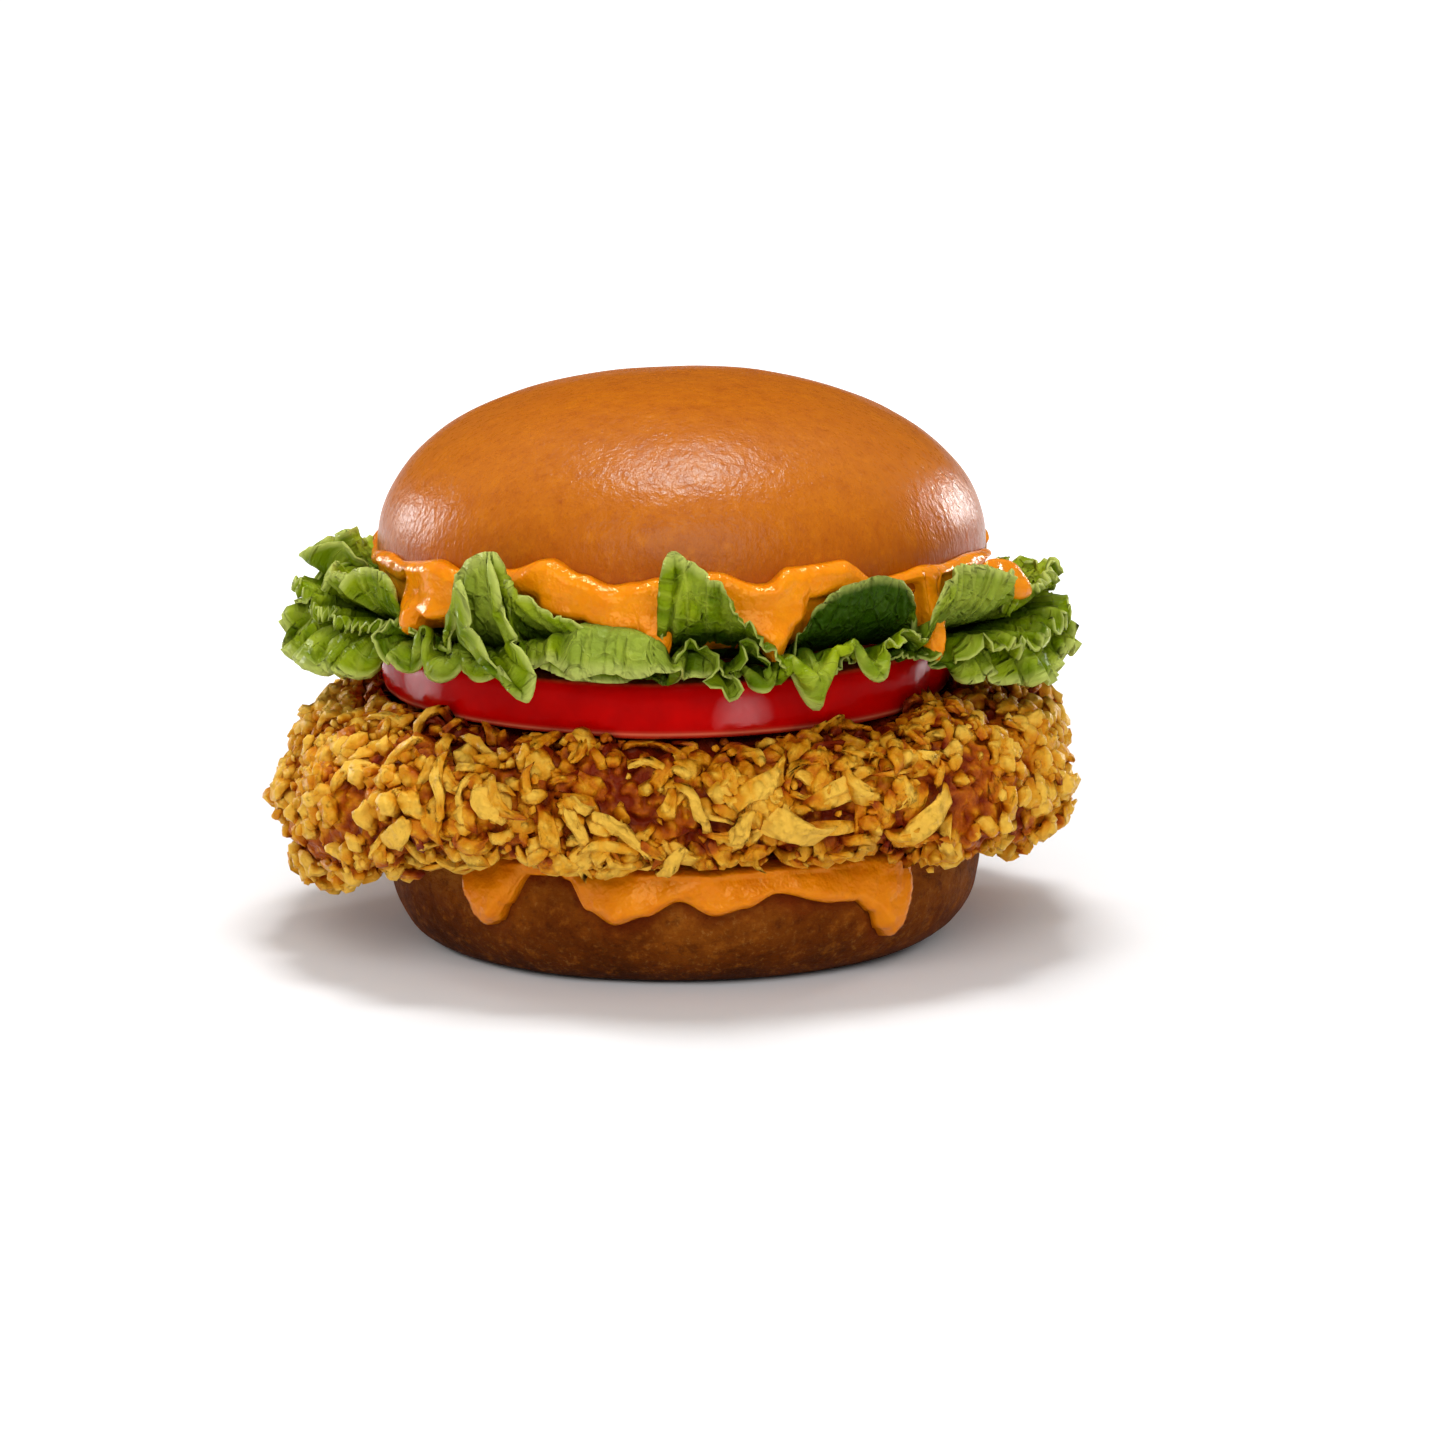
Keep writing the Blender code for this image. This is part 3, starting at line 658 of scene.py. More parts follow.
def random_turns(draw, outward, most_tilt):
    """A frame for each outward direction, turned about it at random and tilted by most_tilt at most."""
    count = len(outward)
    helper = np.where(np.abs(outward[:, 2:3]) < 0.9, [[0, 0, 1.0]], [[1.0, 0, 0]])
    first = np.cross(helper, outward)
    first /= np.linalg.norm(first, axis=1, keepdims=True)
    second = np.cross(outward, first)
    turn = draw.uniform(0, math.tau, count)[:, None]
    x = first * np.cos(turn) + second * np.sin(turn)
    y = np.cross(outward, x)
    tilt = np.radians(draw.uniform(-1, 1, count) * most_tilt)[:, None]
    tilted_y = y * np.cos(tilt) + outward * np.sin(tilt)
    return np.stack([x, tilted_y, np.cross(x, tilted_y)], axis=1)


def flakes(draw, places, outward, frames, sizes, tones, finer, seed):
    """Curled, lumpy flakes, one at each place: their points, triangles, tip levels, which paint shade at
    each flake's base, and tones.
    """
    unit, faces = ball(finer)
    count = len(places)
    half_length, half_width, half_thickness, bend, raised = (size[:, None] for size in sizes)
    half_width = half_width * half_length
    ragged = noise(unit[None] * 1.1 + draw.uniform(0, 50, (count, 1, 3)), 1.0, seed)
    ragged = 1 + 0.5 * ragged
    flat_x, flat_y = unit[:, 0] * half_length * ragged, unit[:, 1] * half_width * ragged
    flat_z = unit[:, 2] * half_thickness
    turned = flat_x * bend / half_length
    radius = half_length / bend
    x = radius * np.sin(turned) + flat_z * np.sin(turned)
    z = radius * (np.cos(turned) - 1) + flat_z * np.cos(turned)
    twist = flat_x / half_length * draw.uniform(-0.7, 0.7, count)[:, None]
    cos, sin = np.cos(twist), np.sin(twist)
    shape = np.stack([x, flat_y * cos - z * sin, flat_y * sin + z * cos], axis=-1)
    made = places[:, None, :] + outward[:, None, :] * raised[..., None] + shape @ frames
    facing = unit[None] / np.concatenate([half_length, half_width, half_thickness], axis=1)[:, None, :]
    facing = (facing / np.linalg.norm(facing, axis=-1, keepdims=True)) @ frames
    lumps = 0.9 * knobs(made, 1.9 * MM, seed + 1) - 0.35 + 0.3 * noise(made, 0.9 * MM, seed + 2)
    made = make_room(made + facing * (lumps * MM)[..., None])
    risen = ((made - places[:, None, :]) * outward[:, None, :]).sum(-1)
    # Painted shade: each flake is darker at its base and lighter at its tip.
    tips = 0.42 + np.clip(risen / (4.5 * MM), -0.4, 0.6)
    tones = np.repeat(tones[:, None], len(unit), axis=1)
    all_faces = faces[None] + np.arange(count)[:, None, None] * len(unit)
    return made, all_faces, tips, tones


def scatter(draw, grid, cover, count, keep):
    """Random places on a closed grid of rings, spread by area and cover, with their outward directions."""
    outward = normals_of(grid)
    corners = grid[:-1], grid[1:], np.roll(grid, -1, axis=1)[:-1]
    area = np.linalg.norm(np.cross(corners[1] - corners[0], corners[2] - corners[0]), axis=-1)
    area = area * keep(grid[:-1]) * cover[:-1]
    chosen = draw.choice(area.size, count, p=area.ravel() / area.sum())
    row, column = np.unravel_index(chosen, area.shape)
    return grid[row, column], outward[row, column]


def off_the_faces(points):
    """1 for the part of the fillet that shows: neither under the tomato nor over the heel."""
    radius = np.hypot(points[..., 0], points[..., 1])
    covered = ((points[..., 2] > UNDER_TOMATO_Z - 1 * MM) & (radius < 45 * MM))
    covered |= ((points[..., 2] < OVER_SAUCE_Z + 1 * MM) & (radius < 47 * MM))
    return np.where(covered, 0.0, 1.0)


def in_the_middle(points):
    """More at the front and the back than at the two ends."""
    return off_the_faces(points) * np.where(np.abs(points[..., 0]) < 44 * MM, 1.0, 0.12)


def at_the_ends(points):
    """More at the fillet's two ends than at the front and the back."""
    return off_the_faces(points) * np.where(np.abs(points[..., 0]) > 42 * MM, 1.0, 0.45)


# Each kind of flake: its name, how many, where, half length, width as a share of it, half thickness, curl,
# most tilt in degrees, lift and fineness
FLAKE_KINDS = (
    ("flakes_large", 72, in_the_middle, (3, 5), (0.35, 0.60), (0.70, 1.05), (0.5, 1.4), 32, (0.4, 2.0), 3),
    ("flakes_medium", 640, off_the_faces, (1.7, 3.5), (0.35, 0.7), (0.65, 1.2), (0.4, 1.5), 45, (0, 1.8), 2),
    ("strips", 340, in_the_middle, (3, 6.2), (0.13, 0.24), (0.55, 0.90), (0.6, 2.1), 42, (0.5, 2.4), 2),
    ("curds", 820, at_the_ends, (1.1, 2.4), (0.7, 1), (0.9, 1.7), (0.1, 0.6), 60, (-0.2, 1.2), 2),
    ("crumbs", 1300, off_the_faces, (0.5, 1.1), (0.6, 1), (0.4, 0.9), (0.1, 0.6), 80, (0, 1.6), 1),
)

# Flakes that stand out at the front. Each row: x and height in millimetres, half length, width as a share
# of it, half thickness, curl, turn in degrees, lift and tone
FRONT_FLAKES = (
    (18, 29.5, 7.2, 0.40, 0.75, 0.7, -14, 3.0, 1.3), (9.3, 28.5, 6.2, 0.24, 0.75, 0.5, 62, 2.6, 1.2),
    (24.5, 35.0, 6.8, 0.30, 0.70, 0.9, 12, 2.4, 1.0), (29.0, 20.6, 5.2, 0.64, 1.10, 0.5, 66, 3.4, 1.2),
    (-30.5, 31.5, 4.4, 0.56, 1.00, 0.8, -20, 2.6, 1.0), (-16, 22.5, 6.8, 0.32, 0.80, 0.6, -6, 3.0, 1.4),
    (-23.5, 18.5, 4.8, 0.46, 0.80, 0.6, -28, 3.2, 1.1), (2, 31.5, 6.6, 0.15, 0.75, 1.3, -68, 3.0, 0.8),
    (-1.5, 24.5, 4.2, 0.22, 0.80, 0.6, 66, 2.8, 1.0), (-16.5, 29.5, 5.0, 0.20, 0.85, 0.5, -58, 2.8, 0.9),
    (-10, 27, 5.8, 0.19, 0.90, 0.4, -35, 2.8, 0.6), (-37, 34.5, 6.4, 0.14, 0.60, 1.2, -52, 3.0, 0.9),
    (12.5, 36, 5.2, 0.40, 0.70, 0.7, 20, 2.0, 0.3), (38, 29, 5.6, 0.42, 0.85, 0.8, 34, 2.6, 0.9),
    (-44, 27, 5.0, 0.40, 1.10, 0.9, 58, 2.4, 0.7), (-51, 33, 5.6, 0.34, 0.90, 1.0, 36, 2.4, 1.1),
)


def front_flakes(grid, outward):
    """Where the flakes of FRONT_FLAKES sit, how they are turned, and their sizes."""
    rows = np.array(FRONT_FLAKES)
    front = grid[..., 1] < -20 * MM
    places, ways, frames = [], [], []
    for x, height, turn in zip(rows[:, 0] * MM, rows[:, 1] * MM, np.radians(rows[:, 6])):
        away = np.where(front, np.hypot(grid[..., 0] - x, grid[..., 2] - height), 1)
        nearest = np.unravel_index(away.argmin(), away.shape)
        way = outward[nearest]
        along = np.array([math.cos(turn), 0, math.sin(turn)])
        along -= way * (along @ way)
        along /= np.linalg.norm(along)
        places.append(grid[nearest])
        ways.append(way)
        frames.append(np.stack([along, np.cross(way, along), way]))
    sizes = rows[:, 2] * MM, rows[:, 3], rows[:, 4] * MM, rows[:, 5], rows[:, 7] * MM
    return np.array(places), np.array(ways), np.array(frames), sizes, rows[:, 8]


def flake_piece(name, look, parts):
    """One piece of many flakes."""
    points, faces, tips, tones = parts
    mesh = mesh_of(name, points, [], faces)
    store(mesh, "tip", tips)
    store(mesh, "tone", tones)
    piece(name, mesh, look)


def make_flakes(look, grid, cover):
    """The scattered flakes, kind by kind, and the ones placed at the front."""
    for index, kind in enumerate(FLAKE_KINDS):
        name, count, keep, length, width, thickness, curl, tilt, lift, finer = kind
        draw = np.random.default_rng(100 + index)
        places, outward = scatter(draw, grid, cover, count, keep)
        spans = np.array(length) * MM, width, np.array(thickness) * MM, curl, np.array(lift) * MM
        sizes = [draw.uniform(*span, count) for span in spans]
        frames = random_turns(draw, outward, tilt)
        tones = draw.uniform(-1, 1, count)
        flake_piece(name, look, flakes(draw, places, outward, frames, sizes, tones, finer, 200 + index))
    placed = front_flakes(grid, normals_of(grid))
    flake_piece("flakes_front", look, flakes(np.random.default_rng(120), *placed, 3, 220))


# The lettuce: sheets that grow faster at their margin than at their middle, and so buckle into frills

LEAF_START = 43 * MM
LEAF_THICKNESS = 0.34 * MM
LEAF_LOWEST_Z = 43.5 * MM
# Columns and rows of the coarse and the fine sheet, and how many steps each takes
LEAF_GRIDS = ((450, 14), (900, 27))
COARSE_STEPS = 420
GROWING_STEPS = 260
FINE_STEPS = 110
LEAF_MEAN_RADIUS = 58 * MM
LOWER_LEAF_Z = 51.8 * MM
MIDDLE_LEAF_Z = 52.8 * MM
UPPER_LEAF_Z = 53.9 * MM

# Each row: angle in degrees, then where the margin lies as radius and height, how far the leaf arches up on
# its way there, and how much longer its margin grows than it would be flat
LOWER_LEAF = (
    (-180, 58, 49, 3, 1.2), (-140, 59, 48, 4, 1.2), (-112, 62, 50, 4, 1.7), (-92, 64, 47, 6, 1.9),
    (-78, 62, 45.5, 6, 1.7), (-66, 59, 46.5, 6, 1.3), (-60.5, 56, 52, 4, 1.0), (-53, 55.5, 50.5, 4, 1.0),
    (-49, 55, 53.5, 5, 0.8), (-45, 56, 50.0, 5, 0.9), (-40, 55, 53, 5, 0.9), (-36, 55.5, 51.5, 5, 0.8),
    (-32, 54.5, 53.5, 5, 0.6), (-26, 54, 52.5, 6, 0.4), (-20, 55.5, 54, 14, 0.3),
    (-16, 56.5, 53.6, 17, 0.35), (-10, 56.8, 53.4, 17, 0.35), (-5, 56.5, 53.4, 13, 0.4),
    (-2, 56, 53.4, 8, 0.4), (1, 53, 52.5, 9, 0.5), (10, 54, 52.5, 4, 0.8), (13.6, 56, 50.5, 4, 0.8),
    (17, 54, 53, 4, 0.6), (28, 53, 52.5, 4, 0.6), (40, 52, 52.5, 3, 0.5), (52, 52, 52.5, 2, 0.4),
    (57, 57, 48, 5, 1.1), (70, 61, 45.5, 6, 1.6), (86, 62, 46.5, 5, 1.7), (104, 61, 48, 4, 1.5),
    (140, 58, 48, 4, 1.2),
)
UPPER_LEAF = (
    (-180, 58, 58, 1, 1.3), (-158, 59, 64, 2, 1.3), (-138, 56, 56, 1, 1.1), (-118, 59, 61, 2, 1.8),
    (-104, 58.5, 63.5, 3, 1.8), (-97, 61.5, 64.5, 3, 1.2), (-92, 57, 62, 3, 1.8), (-80, 58, 62, 2, 1.8),
    (-68, 57, 63, 2, 1.0), (-62, 56.5, 65.5, 2, 0.4), (-58, 56, 65, 1, 0.2), (-55.5, 54, 57, 0, 0.2),
    (-53, 53, 54.4, 0, 0.3), (-49, 54, 54.6, 0, 0.2), (-46.5, 57, 60, 1, 0.1), (-45, 58, 68, 2, 0.1),
    (-42.5, 59.5, 60, 2, 0.1), (-40, 60, 53.5, 3, 0.1), (-37.5, 60.5, 48.8, 4, 0.1),
    (-35.5, 60, 53, 4, 0.1), (-33, 59.5, 59, 3, 0.1), (-30.5, 59, 65, 3, 0.1), (-28.8, 58, 72, 3, 0.1),
    (-27.5, 57.3, 73.5, 3, 0.1), (-26, 56.5, 69, 4, 0.1), (-24, 56, 65.5, 5, 0.15),
    (-19, 55.5, 62.2, 5, 0.2), (-14, 55, 60.4, 4, 0.2), (-9, 52, 56, 1, 0.2), (-6, 51, 54.2, 0, 0.2),
    (-4, 52, 55, 0, 0.1), (-3, 57, 69, 3, 0.1), (-1.4, 57.5, 74.5, 4, 0.15), (0.8, 58, 72.5, 6, 0.2),
    (5, 58.5, 69, 9, 0.3), (10, 58.5, 62, 9, 0.4), (13.6, 57.5, 57.5, 6, 0.5), (17, 56, 54.5, 3, 0.4),
    (19.5, 52, 55, 1, 0.2), (21, 52, 59, 3, 0.1), (24, 53, 63.4, 4, 0.1), (29, 53.8, 66.4, 4, 0.15),
    (35, 53.8, 67.3, 4, 0.15), (40, 53.8, 66.2, 4, 0.15), (43.4, 53.4, 62.4, 3, 0.15),
    (45.4, 52, 57, 0, 0.1), (46.8, 54, 57, 0, 0.1), (47.6, 58.5, 65.5, 3, 0.3), (50, 59, 68.5, 3, 0.8),
    (55, 59, 67.5, 3, 1.2), (61, 59, 65, 2, 1.4), (68, 58, 61, 2, 1.4), (78, 60, 62.5, 2, 1.7),
    (90, 61, 61.5, 2, 1.9), (104, 60, 60, 2, 1.6), (118, 57, 56, 1, 1.2), (134, 60, 63, 2, 1.3),
    (150, 56, 55, 1, 1.1),
)
# How far the upper leaf's margin leans round the axis at some angles, in degrees
UPPER_LEAN = (
    (-180, 0), (-58, 0), (-53, 3), (-49, 6), (-46.5, 7.5), (-45, 8.5), (-42.5, 9), (-40, 12), (-37.5, 15),
    (-35.5, 13.5), (-33, 7.5), (-30.5, 1.5), (-28.8, -2.2), (-27.5, -3.7), (-26, -3.5), (-24, -3.5),
    (-19, -1), (-14, 0), (46.4, 0), (47.6, -1.6), (50, -2.4), (56, -1), (62, 0),
)
NO_LEAN = ((-90, 0), (90, 0))
# From where to where a leaf is held to its path, in degrees: nowhere
NOWHERE = (400, 400)
MIDDLE_LEAF = (
    (-180, 57, 52, 2, 1.2), (-150, 59, 55, 3, 1.4), (-122, 60, 55, 3, 1.7), (-100, 62, 57, 3, 2.1),
    (-90, 64, 58, 3, 1.6), (-80, 61, 55, 3, 2.1), (-66, 58.5, 55, 3, 1.5), (-56, 55, 57, 2, 0.8),
    (-48, 52, 55, 1, 0.4), (-42, 51, 53.5, 1, 0.2), (-39, 56, 67, 2, 0.1), (-35.5, 56.8, 70.5, 2, 0.1),
    (-32, 57, 72.5, 2, 0.1), (-30, 56, 67, 3, 0.1), (-28, 55.5, 58, 5, 0.2), (-25, 56, 54.5, 9, 0.3),
    (-17, 56, 52.5, 8, 0.3), (-11, 54.5, 52, 6, 0.3), (-7, 50, 53.5, 1, 0.3), (-2, 53, 54, 1, 0.8),
    (2, 56.5, 57, 4, 1.6), (7, 57, 53, 3, 1.9), (11, 57, 56, 4, 1.7), (16, 55, 54, 2, 0.7),
    (19, 57.5, 54, 6, 0.4), (22.4, 60, 46.5, 7, 0.3), (25, 57.5, 54, 6, 0.5), (28, 57, 55, 5, 0.5),
    (32, 58.5, 50.5, 5, 0.4), (35.5, 57, 55, 4, 0.5), (40, 56, 57, 4, 0.5), (43.5, 55, 56.5, 3, 0.4),
    (46, 50, 53.5, 0, 0.3), (51, 54, 52, 2, 0.9), (58, 60, 53, 3, 1.5), (70, 61, 51, 3, 1.9),
    (86, 64, 54, 3, 2.0), (106, 60, 54, 3, 1.7), (128, 58, 52, 2, 1.3), (155, 59, 54, 2, 1.3),
)


def bent(points):
    """How far each point lies from the middle of its neighbours."""
    middle = (np.roll(points, 1, axis=0) + np.roll(points, -1, axis=0)) / 2 - points
    middle[:, 1:-1] += (points[:, 2:] + points[:, :-2]) / 2 - points[:, 1:-1]
    return middle


def pull(first, second, rest, stiffness):
    """Moves two sets of points towards their rest distance from each other, half of the way each."""
    between = second - first
    length = np.sqrt((between * between).sum(-1))
    shift = between * (0.5 * stiffness * (1 - rest / np.maximum(length, 1e-9)))[..., None]
    first += shift
    second -= shift


def leaf_path(table, lean, disc_z, columns, rows):
    """A leaf's points before it grows, as columns round the axis by rows outward, and its growth."""
    angles = round_the_axis(columns)
    radius, height, arch, growth = around(table, angles)
    leaning = np.radians(around(lean, angles)[0])[:, None]
    share = np.linspace(0, 1, rows)[None, :]
    end = (radius * MM)[:, None]
    path_radius = curved(share, LEAF_START, end, end)
    path_height = curved(share, disc_z, (disc_z + arch * MM)[:, None], (height * MM)[:, None])
    return angles, at(angles[:, None] + leaning * share**1.2, path_radius, path_height), growth


def keep_clear(points, floor_z):
    """Moves points out of the crown, off the tomato and up from the fillet."""
    radius = np.hypot(points[..., 0], points[..., 1])
    angle = np.arctan2(points[..., 0], -points[..., 1])
    height = points[..., 2]
    rim = crown_radius(angle, np.maximum(height, CROWN_CUT_Z)) + 1.6 * MM
    inside = (height > CROWN_CUT_Z - 0.8 * MM) & (radius < rim)
    low = inside & (height - (CROWN_CUT_Z - 0.8 * MM) < rim - radius)
    height = np.where(low, CROWN_CUT_Z - 0.8 * MM, height)
    wanted = np.where(inside & ~low, rim, radius)
    edge = TOMATO_RADIUS + 0.6 * MM + TOMATO_SHIFT * np.sin(angle)
    on_tomato = (height < TOMATO_TOP_Z + 0.4 * MM) & (wanted < edge)
    aside = on_tomato & (edge - wanted < TOMATO_TOP_Z + 0.4 * MM - height)
    wanted = np.where(aside, edge, wanted)
    height = np.where(on_tomato & ~aside, TOMATO_TOP_Z + 0.4 * MM, height)
    height = np.maximum(height, floor_z)
    scale = wanted / np.maximum(radius, 1e-6)
    points[..., 0] *= scale
    points[..., 1] *= scale
    points[..., 2] = height


def settle(points, path, round_rest, outward, extra, steps, growing, hold, stiffness):
    """Moves a sheet's points until its lengths are right: it buckles near its path, clear of the rest."""
    at_rest = bent(path)
    for step in range(steps):
        now = round_rest * (1 + extra * (min(1, step / growing) if growing else 1))
        pull(points[0::2], points[1::2], now[0::2], 1)
        pull(points[1:-1:2], points[2::2], now[1:-1:2], 1)
        pull(points[-1:], points[:1], now[-1:], 1)
        pull(points[:, 0:-1:2], points[:, 1::2], outward[:, 0::2], 1)
        pull(points[:, 1:-1:2], points[:, 2::2], outward[:, 1::2], 1)
        slant = np.sqrt(now[:, :-1] ** 2 + outward**2)
        for a, b in ((slice(0, None, 2), slice(1, None, 2)), (slice(1, -1, 2), slice(2, None, 2))):
            pull(points[a, :-1], points[b, 1:], slant[a], 0.3)
            pull(points[a, 1:], points[b, :-1], slant[a], 0.3)
        points += stiffness * (bent(points) - at_rest)
        points += hold * (path - points)
        points[:, :2] = path[:, :2]
        keep_clear(points, LEAF_LOWEST_Z)


def refined(points):
    """A closed sheet with twice as many columns, and a row between each two rows."""
    columns, rows = points.shape[:2]
    across = np.arange(columns * 2) / 2
    low = np.floor(across).astype(int)
    part = (across - low)[:, None, None]
    before, first, second, after = (points[(low + k) % columns] for k in (-1, 0, 1, 2))
    third = 3 * (first - second) + after - before
    points = first + 0.5 * part * (
        second - before + part * (2 * before - 5 * first + 4 * second - after + part * third)
    )
    down = np.linspace(0, rows - 1, (rows - 1) * 2 + 1)
    low = np.minimum(np.floor(down).astype(int), rows - 2)
    part = (down - low)[None, :, None]
    return points[:, low] * (1 - part) + points[:, low + 1] * part


def grow_leaf(table, lean, held, disc_z, seed):
    """A leaf grown twice: coarsely, into its large folds, and then finely, into the frills on them."""
    points = None
    for columns, rows in LEAF_GRIDS:
        angles, path, growth = leaf_path(table, lean, disc_z, columns, rows)
        firm = within(np.degrees(angles)[:, None], *held, 5)
        share = np.linspace(0, 1, rows)[None, :]
        ring = np.stack([np.cos(angles), np.sin(angles), 0 * angles], axis=-1)
        teeth = 0.34 * noise(ring, 0.075, seed)
        if points is not None:
            teeth = teeth + 0.26 * noise(ring, 0.024, seed + 1)
        teeth = teeth * (1 - 0.65 * firm[:, 0])
        outward = np.sqrt(((path[:, 1:] - path[:, :-1]) ** 2).sum(-1))
        outward = outward * (1 + teeth[:, None] * share[:, 1:] ** 2)
        round_rest = np.sqrt(((np.roll(path, -1, axis=0) - path) ** 2).sum(-1))
        varied = 1 + 0.55 * noise(ring, 0.22, seed + 3) + 0.35 * noise(ring, 0.09, seed + 7)
        extra = (growth * varied)[:, None] * share**1.8
        if points is None:
            wave = rough_noise(path, 14 * MM, seed + 2, 3) * share * MM
            points = path + at(angles[:, None], 1.5 * wave, 2.5 * wave)
            hold = 0.004 * (1 - 0.7 * share) + 0.12 * firm
            hold, growing, steps, stiffness = hold[..., None], GROWING_STEPS, COARSE_STEPS, 0.05
        else:
            points = refined(points)
            wave = noise(points, 2.6 * MM, seed + 4) * share**2 * MM
            points = points + at(angles[:, None], 0.3 * wave, 0.5 * wave)
            hold, growing, steps, stiffness = 0.02 * firm[..., None], 0, FINE_STEPS, 0.04
            extra = 1.12 * extra
        settle(points, path, round_rest, outward, extra, steps, growing, hold, stiffness)
    flat = np.broadcast_arrays(angles[:, None] * LEAF_MEAN_RADIUS, 20 * MM * share, 0.0)
    flat = np.stack(flat, axis=-1)
    coarse, fine = (0.4 - np.abs(noise(flat, size * MM, seed + k)) for size, k in ((7, 5), (3.2, 6)))
    pucker = 0.9 * coarse + 0.5 * fine
    pucker = pucker * MM * smooth(share * 1.6) * (1 - 0.4 * firm)
    normals = normals_of(points.transpose(1, 0, 2)).transpose(1, 0, 2)
    return angles, points + normals * pucker[..., None], outward


def leaf_look():
    """A fresh leaf: pale veins and margin, light that comes through, a puckered face, and painted shade
    towards its inner part and wherever the mesh keeps shade.
    """
    look, tree, shader = look_of("leaf")
    out = attribute_in(tree, "out")
    flat = attribute_in(tree, "flat", "Vector")
    net = curve_in(tree, cells_in(tree, flat, 260, "DISTANCE_TO_EDGE"), 0.0, 0.12, 1, 0)
    along = vector_in(tree, "MULTIPLY", flat, (1.0, 0.16, 1.0))
    rib = curve_in(tree, cells_in(tree, along, 210, "DISTANCE_TO_EDGE"), 0.0, 0.10, 1, 0)
    green = ramp_in(tree, noise_in(tree, flat, 90, 3, 0.6), (
        (0.25, (0.110, 0.185, 0.001)), (0.5, (0.240, 0.340, 0.002)), (0.75, (0.410, 0.500, 0.006)),
    ))
    blister = noise_in(tree, flat, 190, 2, 0.5)
    veins = math_in(tree, math_in(tree, net, 0.30, "MULTIPLY"), math_in(tree, rib, 0.45, "MULTIPLY"))
    # Painted shade: darker green towards the leaf's inner part and wherever the shade attribute is high.
    painted_shade = math_in(tree, curve_in(tree, out, 0.30, 0.68, 0.88, 0.0), attribute_in(tree, "shade"), "MAXIMUM")
    fading = curve_in(tree, painted_shade, 0.0, 1.0, 1.0, 0.6)
    for share, colour in (
        (curve_in(tree, blister, 0.50, 0.36, 0.0, 0.6), (0.070, 0.145, 0.001)),
        (curve_in(tree, blister, 0.54, 0.68, 0.0, 0.4), (0.52, 0.60, 0.02)),
        (veins, (0.50, 0.58, 0.06)),
        (math_in(tree, attribute_in(tree, "pale"), 0.45, "MULTIPLY"), (0.52, 0.62, 0.10)),
        (painted_shade, (0.020, 0.070, 0.001)),
        (math_in(tree, curve_in(tree, out, 0.91, 0.985, 0.0, 0.9), fading, "MULTIPLY"), (0.64, 0.70, 0.17)),
    ):
        green = blend_in(tree, share, green, colour)
    pucker = bump_in(tree, math_in(tree, net, rib, "MAXIMUM"), 0.0007, 0.7)
    pucker = bump_in(tree, blister, 0.0026, 0.8, pucker)
    normal = bump_in(tree, noise_in(tree, flat, 420, 3, 0.6), 0.0012, 0.7, pucker)
    connect(tree, shader, {
        "Base Color": green,
        "Roughness": 0.34,
        "Specular IOR Level": 0.16,
        "Specular Tint": (0.9, 1.0, 0.45, 1),
        "Normal": normal,
    })
    lit = blend_in(tree, 0.5, green, (0.52, 0.64, 0.01))
    through = add(tree, "ShaderNodeBsdfTranslucent", {"Color": lit, "Normal": normal})
    mixed = add(tree, "ShaderNodeMixShader", {"Fac": 0.34, 1: shader.outputs[0], 2: through.outputs[0]})
    connect(tree, tree.nodes["Material Output"], {"Surface": mixed.outputs[0]})
    return look


def make_leaf(name, table, lean, held, darker, paler, disc_z, seed, look, node=None):
    """A leaf with some stretches of its margin held to their path; some stretches get painted shade and some
    are paler.
    """
    angles, points, outward = grow_leaf(table, lean, held, disc_z, seed)
    points = np.concatenate([points, points[:1]])
    columns, rows = points.shape[:2]
    i, j = np.meshgrid(np.arange(columns - 1), np.arange(rows - 1), indexing="ij")
    corner = (i * rows + j).ravel()
    quads = np.stack([corner, corner + 1, corner + rows + 1, corner + rows], axis=1)
    mesh = mesh_of(name, points, quads)
    length = np.concatenate([np.zeros((columns - 1, 1)), np.cumsum(outward, axis=1)], axis=1)
    length = np.concatenate([length, length[:1]])
    turn = np.append(angles, math.pi)[:, None] + 0 * length
    flat = np.stack([turn * LEAF_MEAN_RADIUS, length, 0 * length], axis=-1)
    layer = mesh.attributes.new("flat", "FLOAT_VECTOR", "POINT")
    layer.data.foreach_set("vector", flat.astype(np.float32).ravel())
    store(mesh, "out", np.broadcast_to(np.linspace(0, 1, rows), (columns, rows)))
    # Painted shade: darker where the leaf lies close in to the bun, and over each stretch in darker, as deep
    # as its depth.
    shade = 0.9 * smooth((56 * MM - np.hypot(points[..., 0], points[..., 1])) / (5 * MM))
    pale = 0 * shade
    degrees = np.degrees(turn)
    for low, high, depth in darker:
        shade = np.maximum(shade, depth * within(degrees, low, high, 2))
    for low, high in paler:
        pale = np.maximum(pale, within(degrees, low, high, 5))
    store(mesh, "shade", shade)
    store(mesh, "pale", pale)
    made = piece(name, mesh, look, node)
    thick = made.modifiers.new("thickness", "SOLIDIFY")
    thick.thickness = LEAF_THICKNESS
    thick.offset = 0


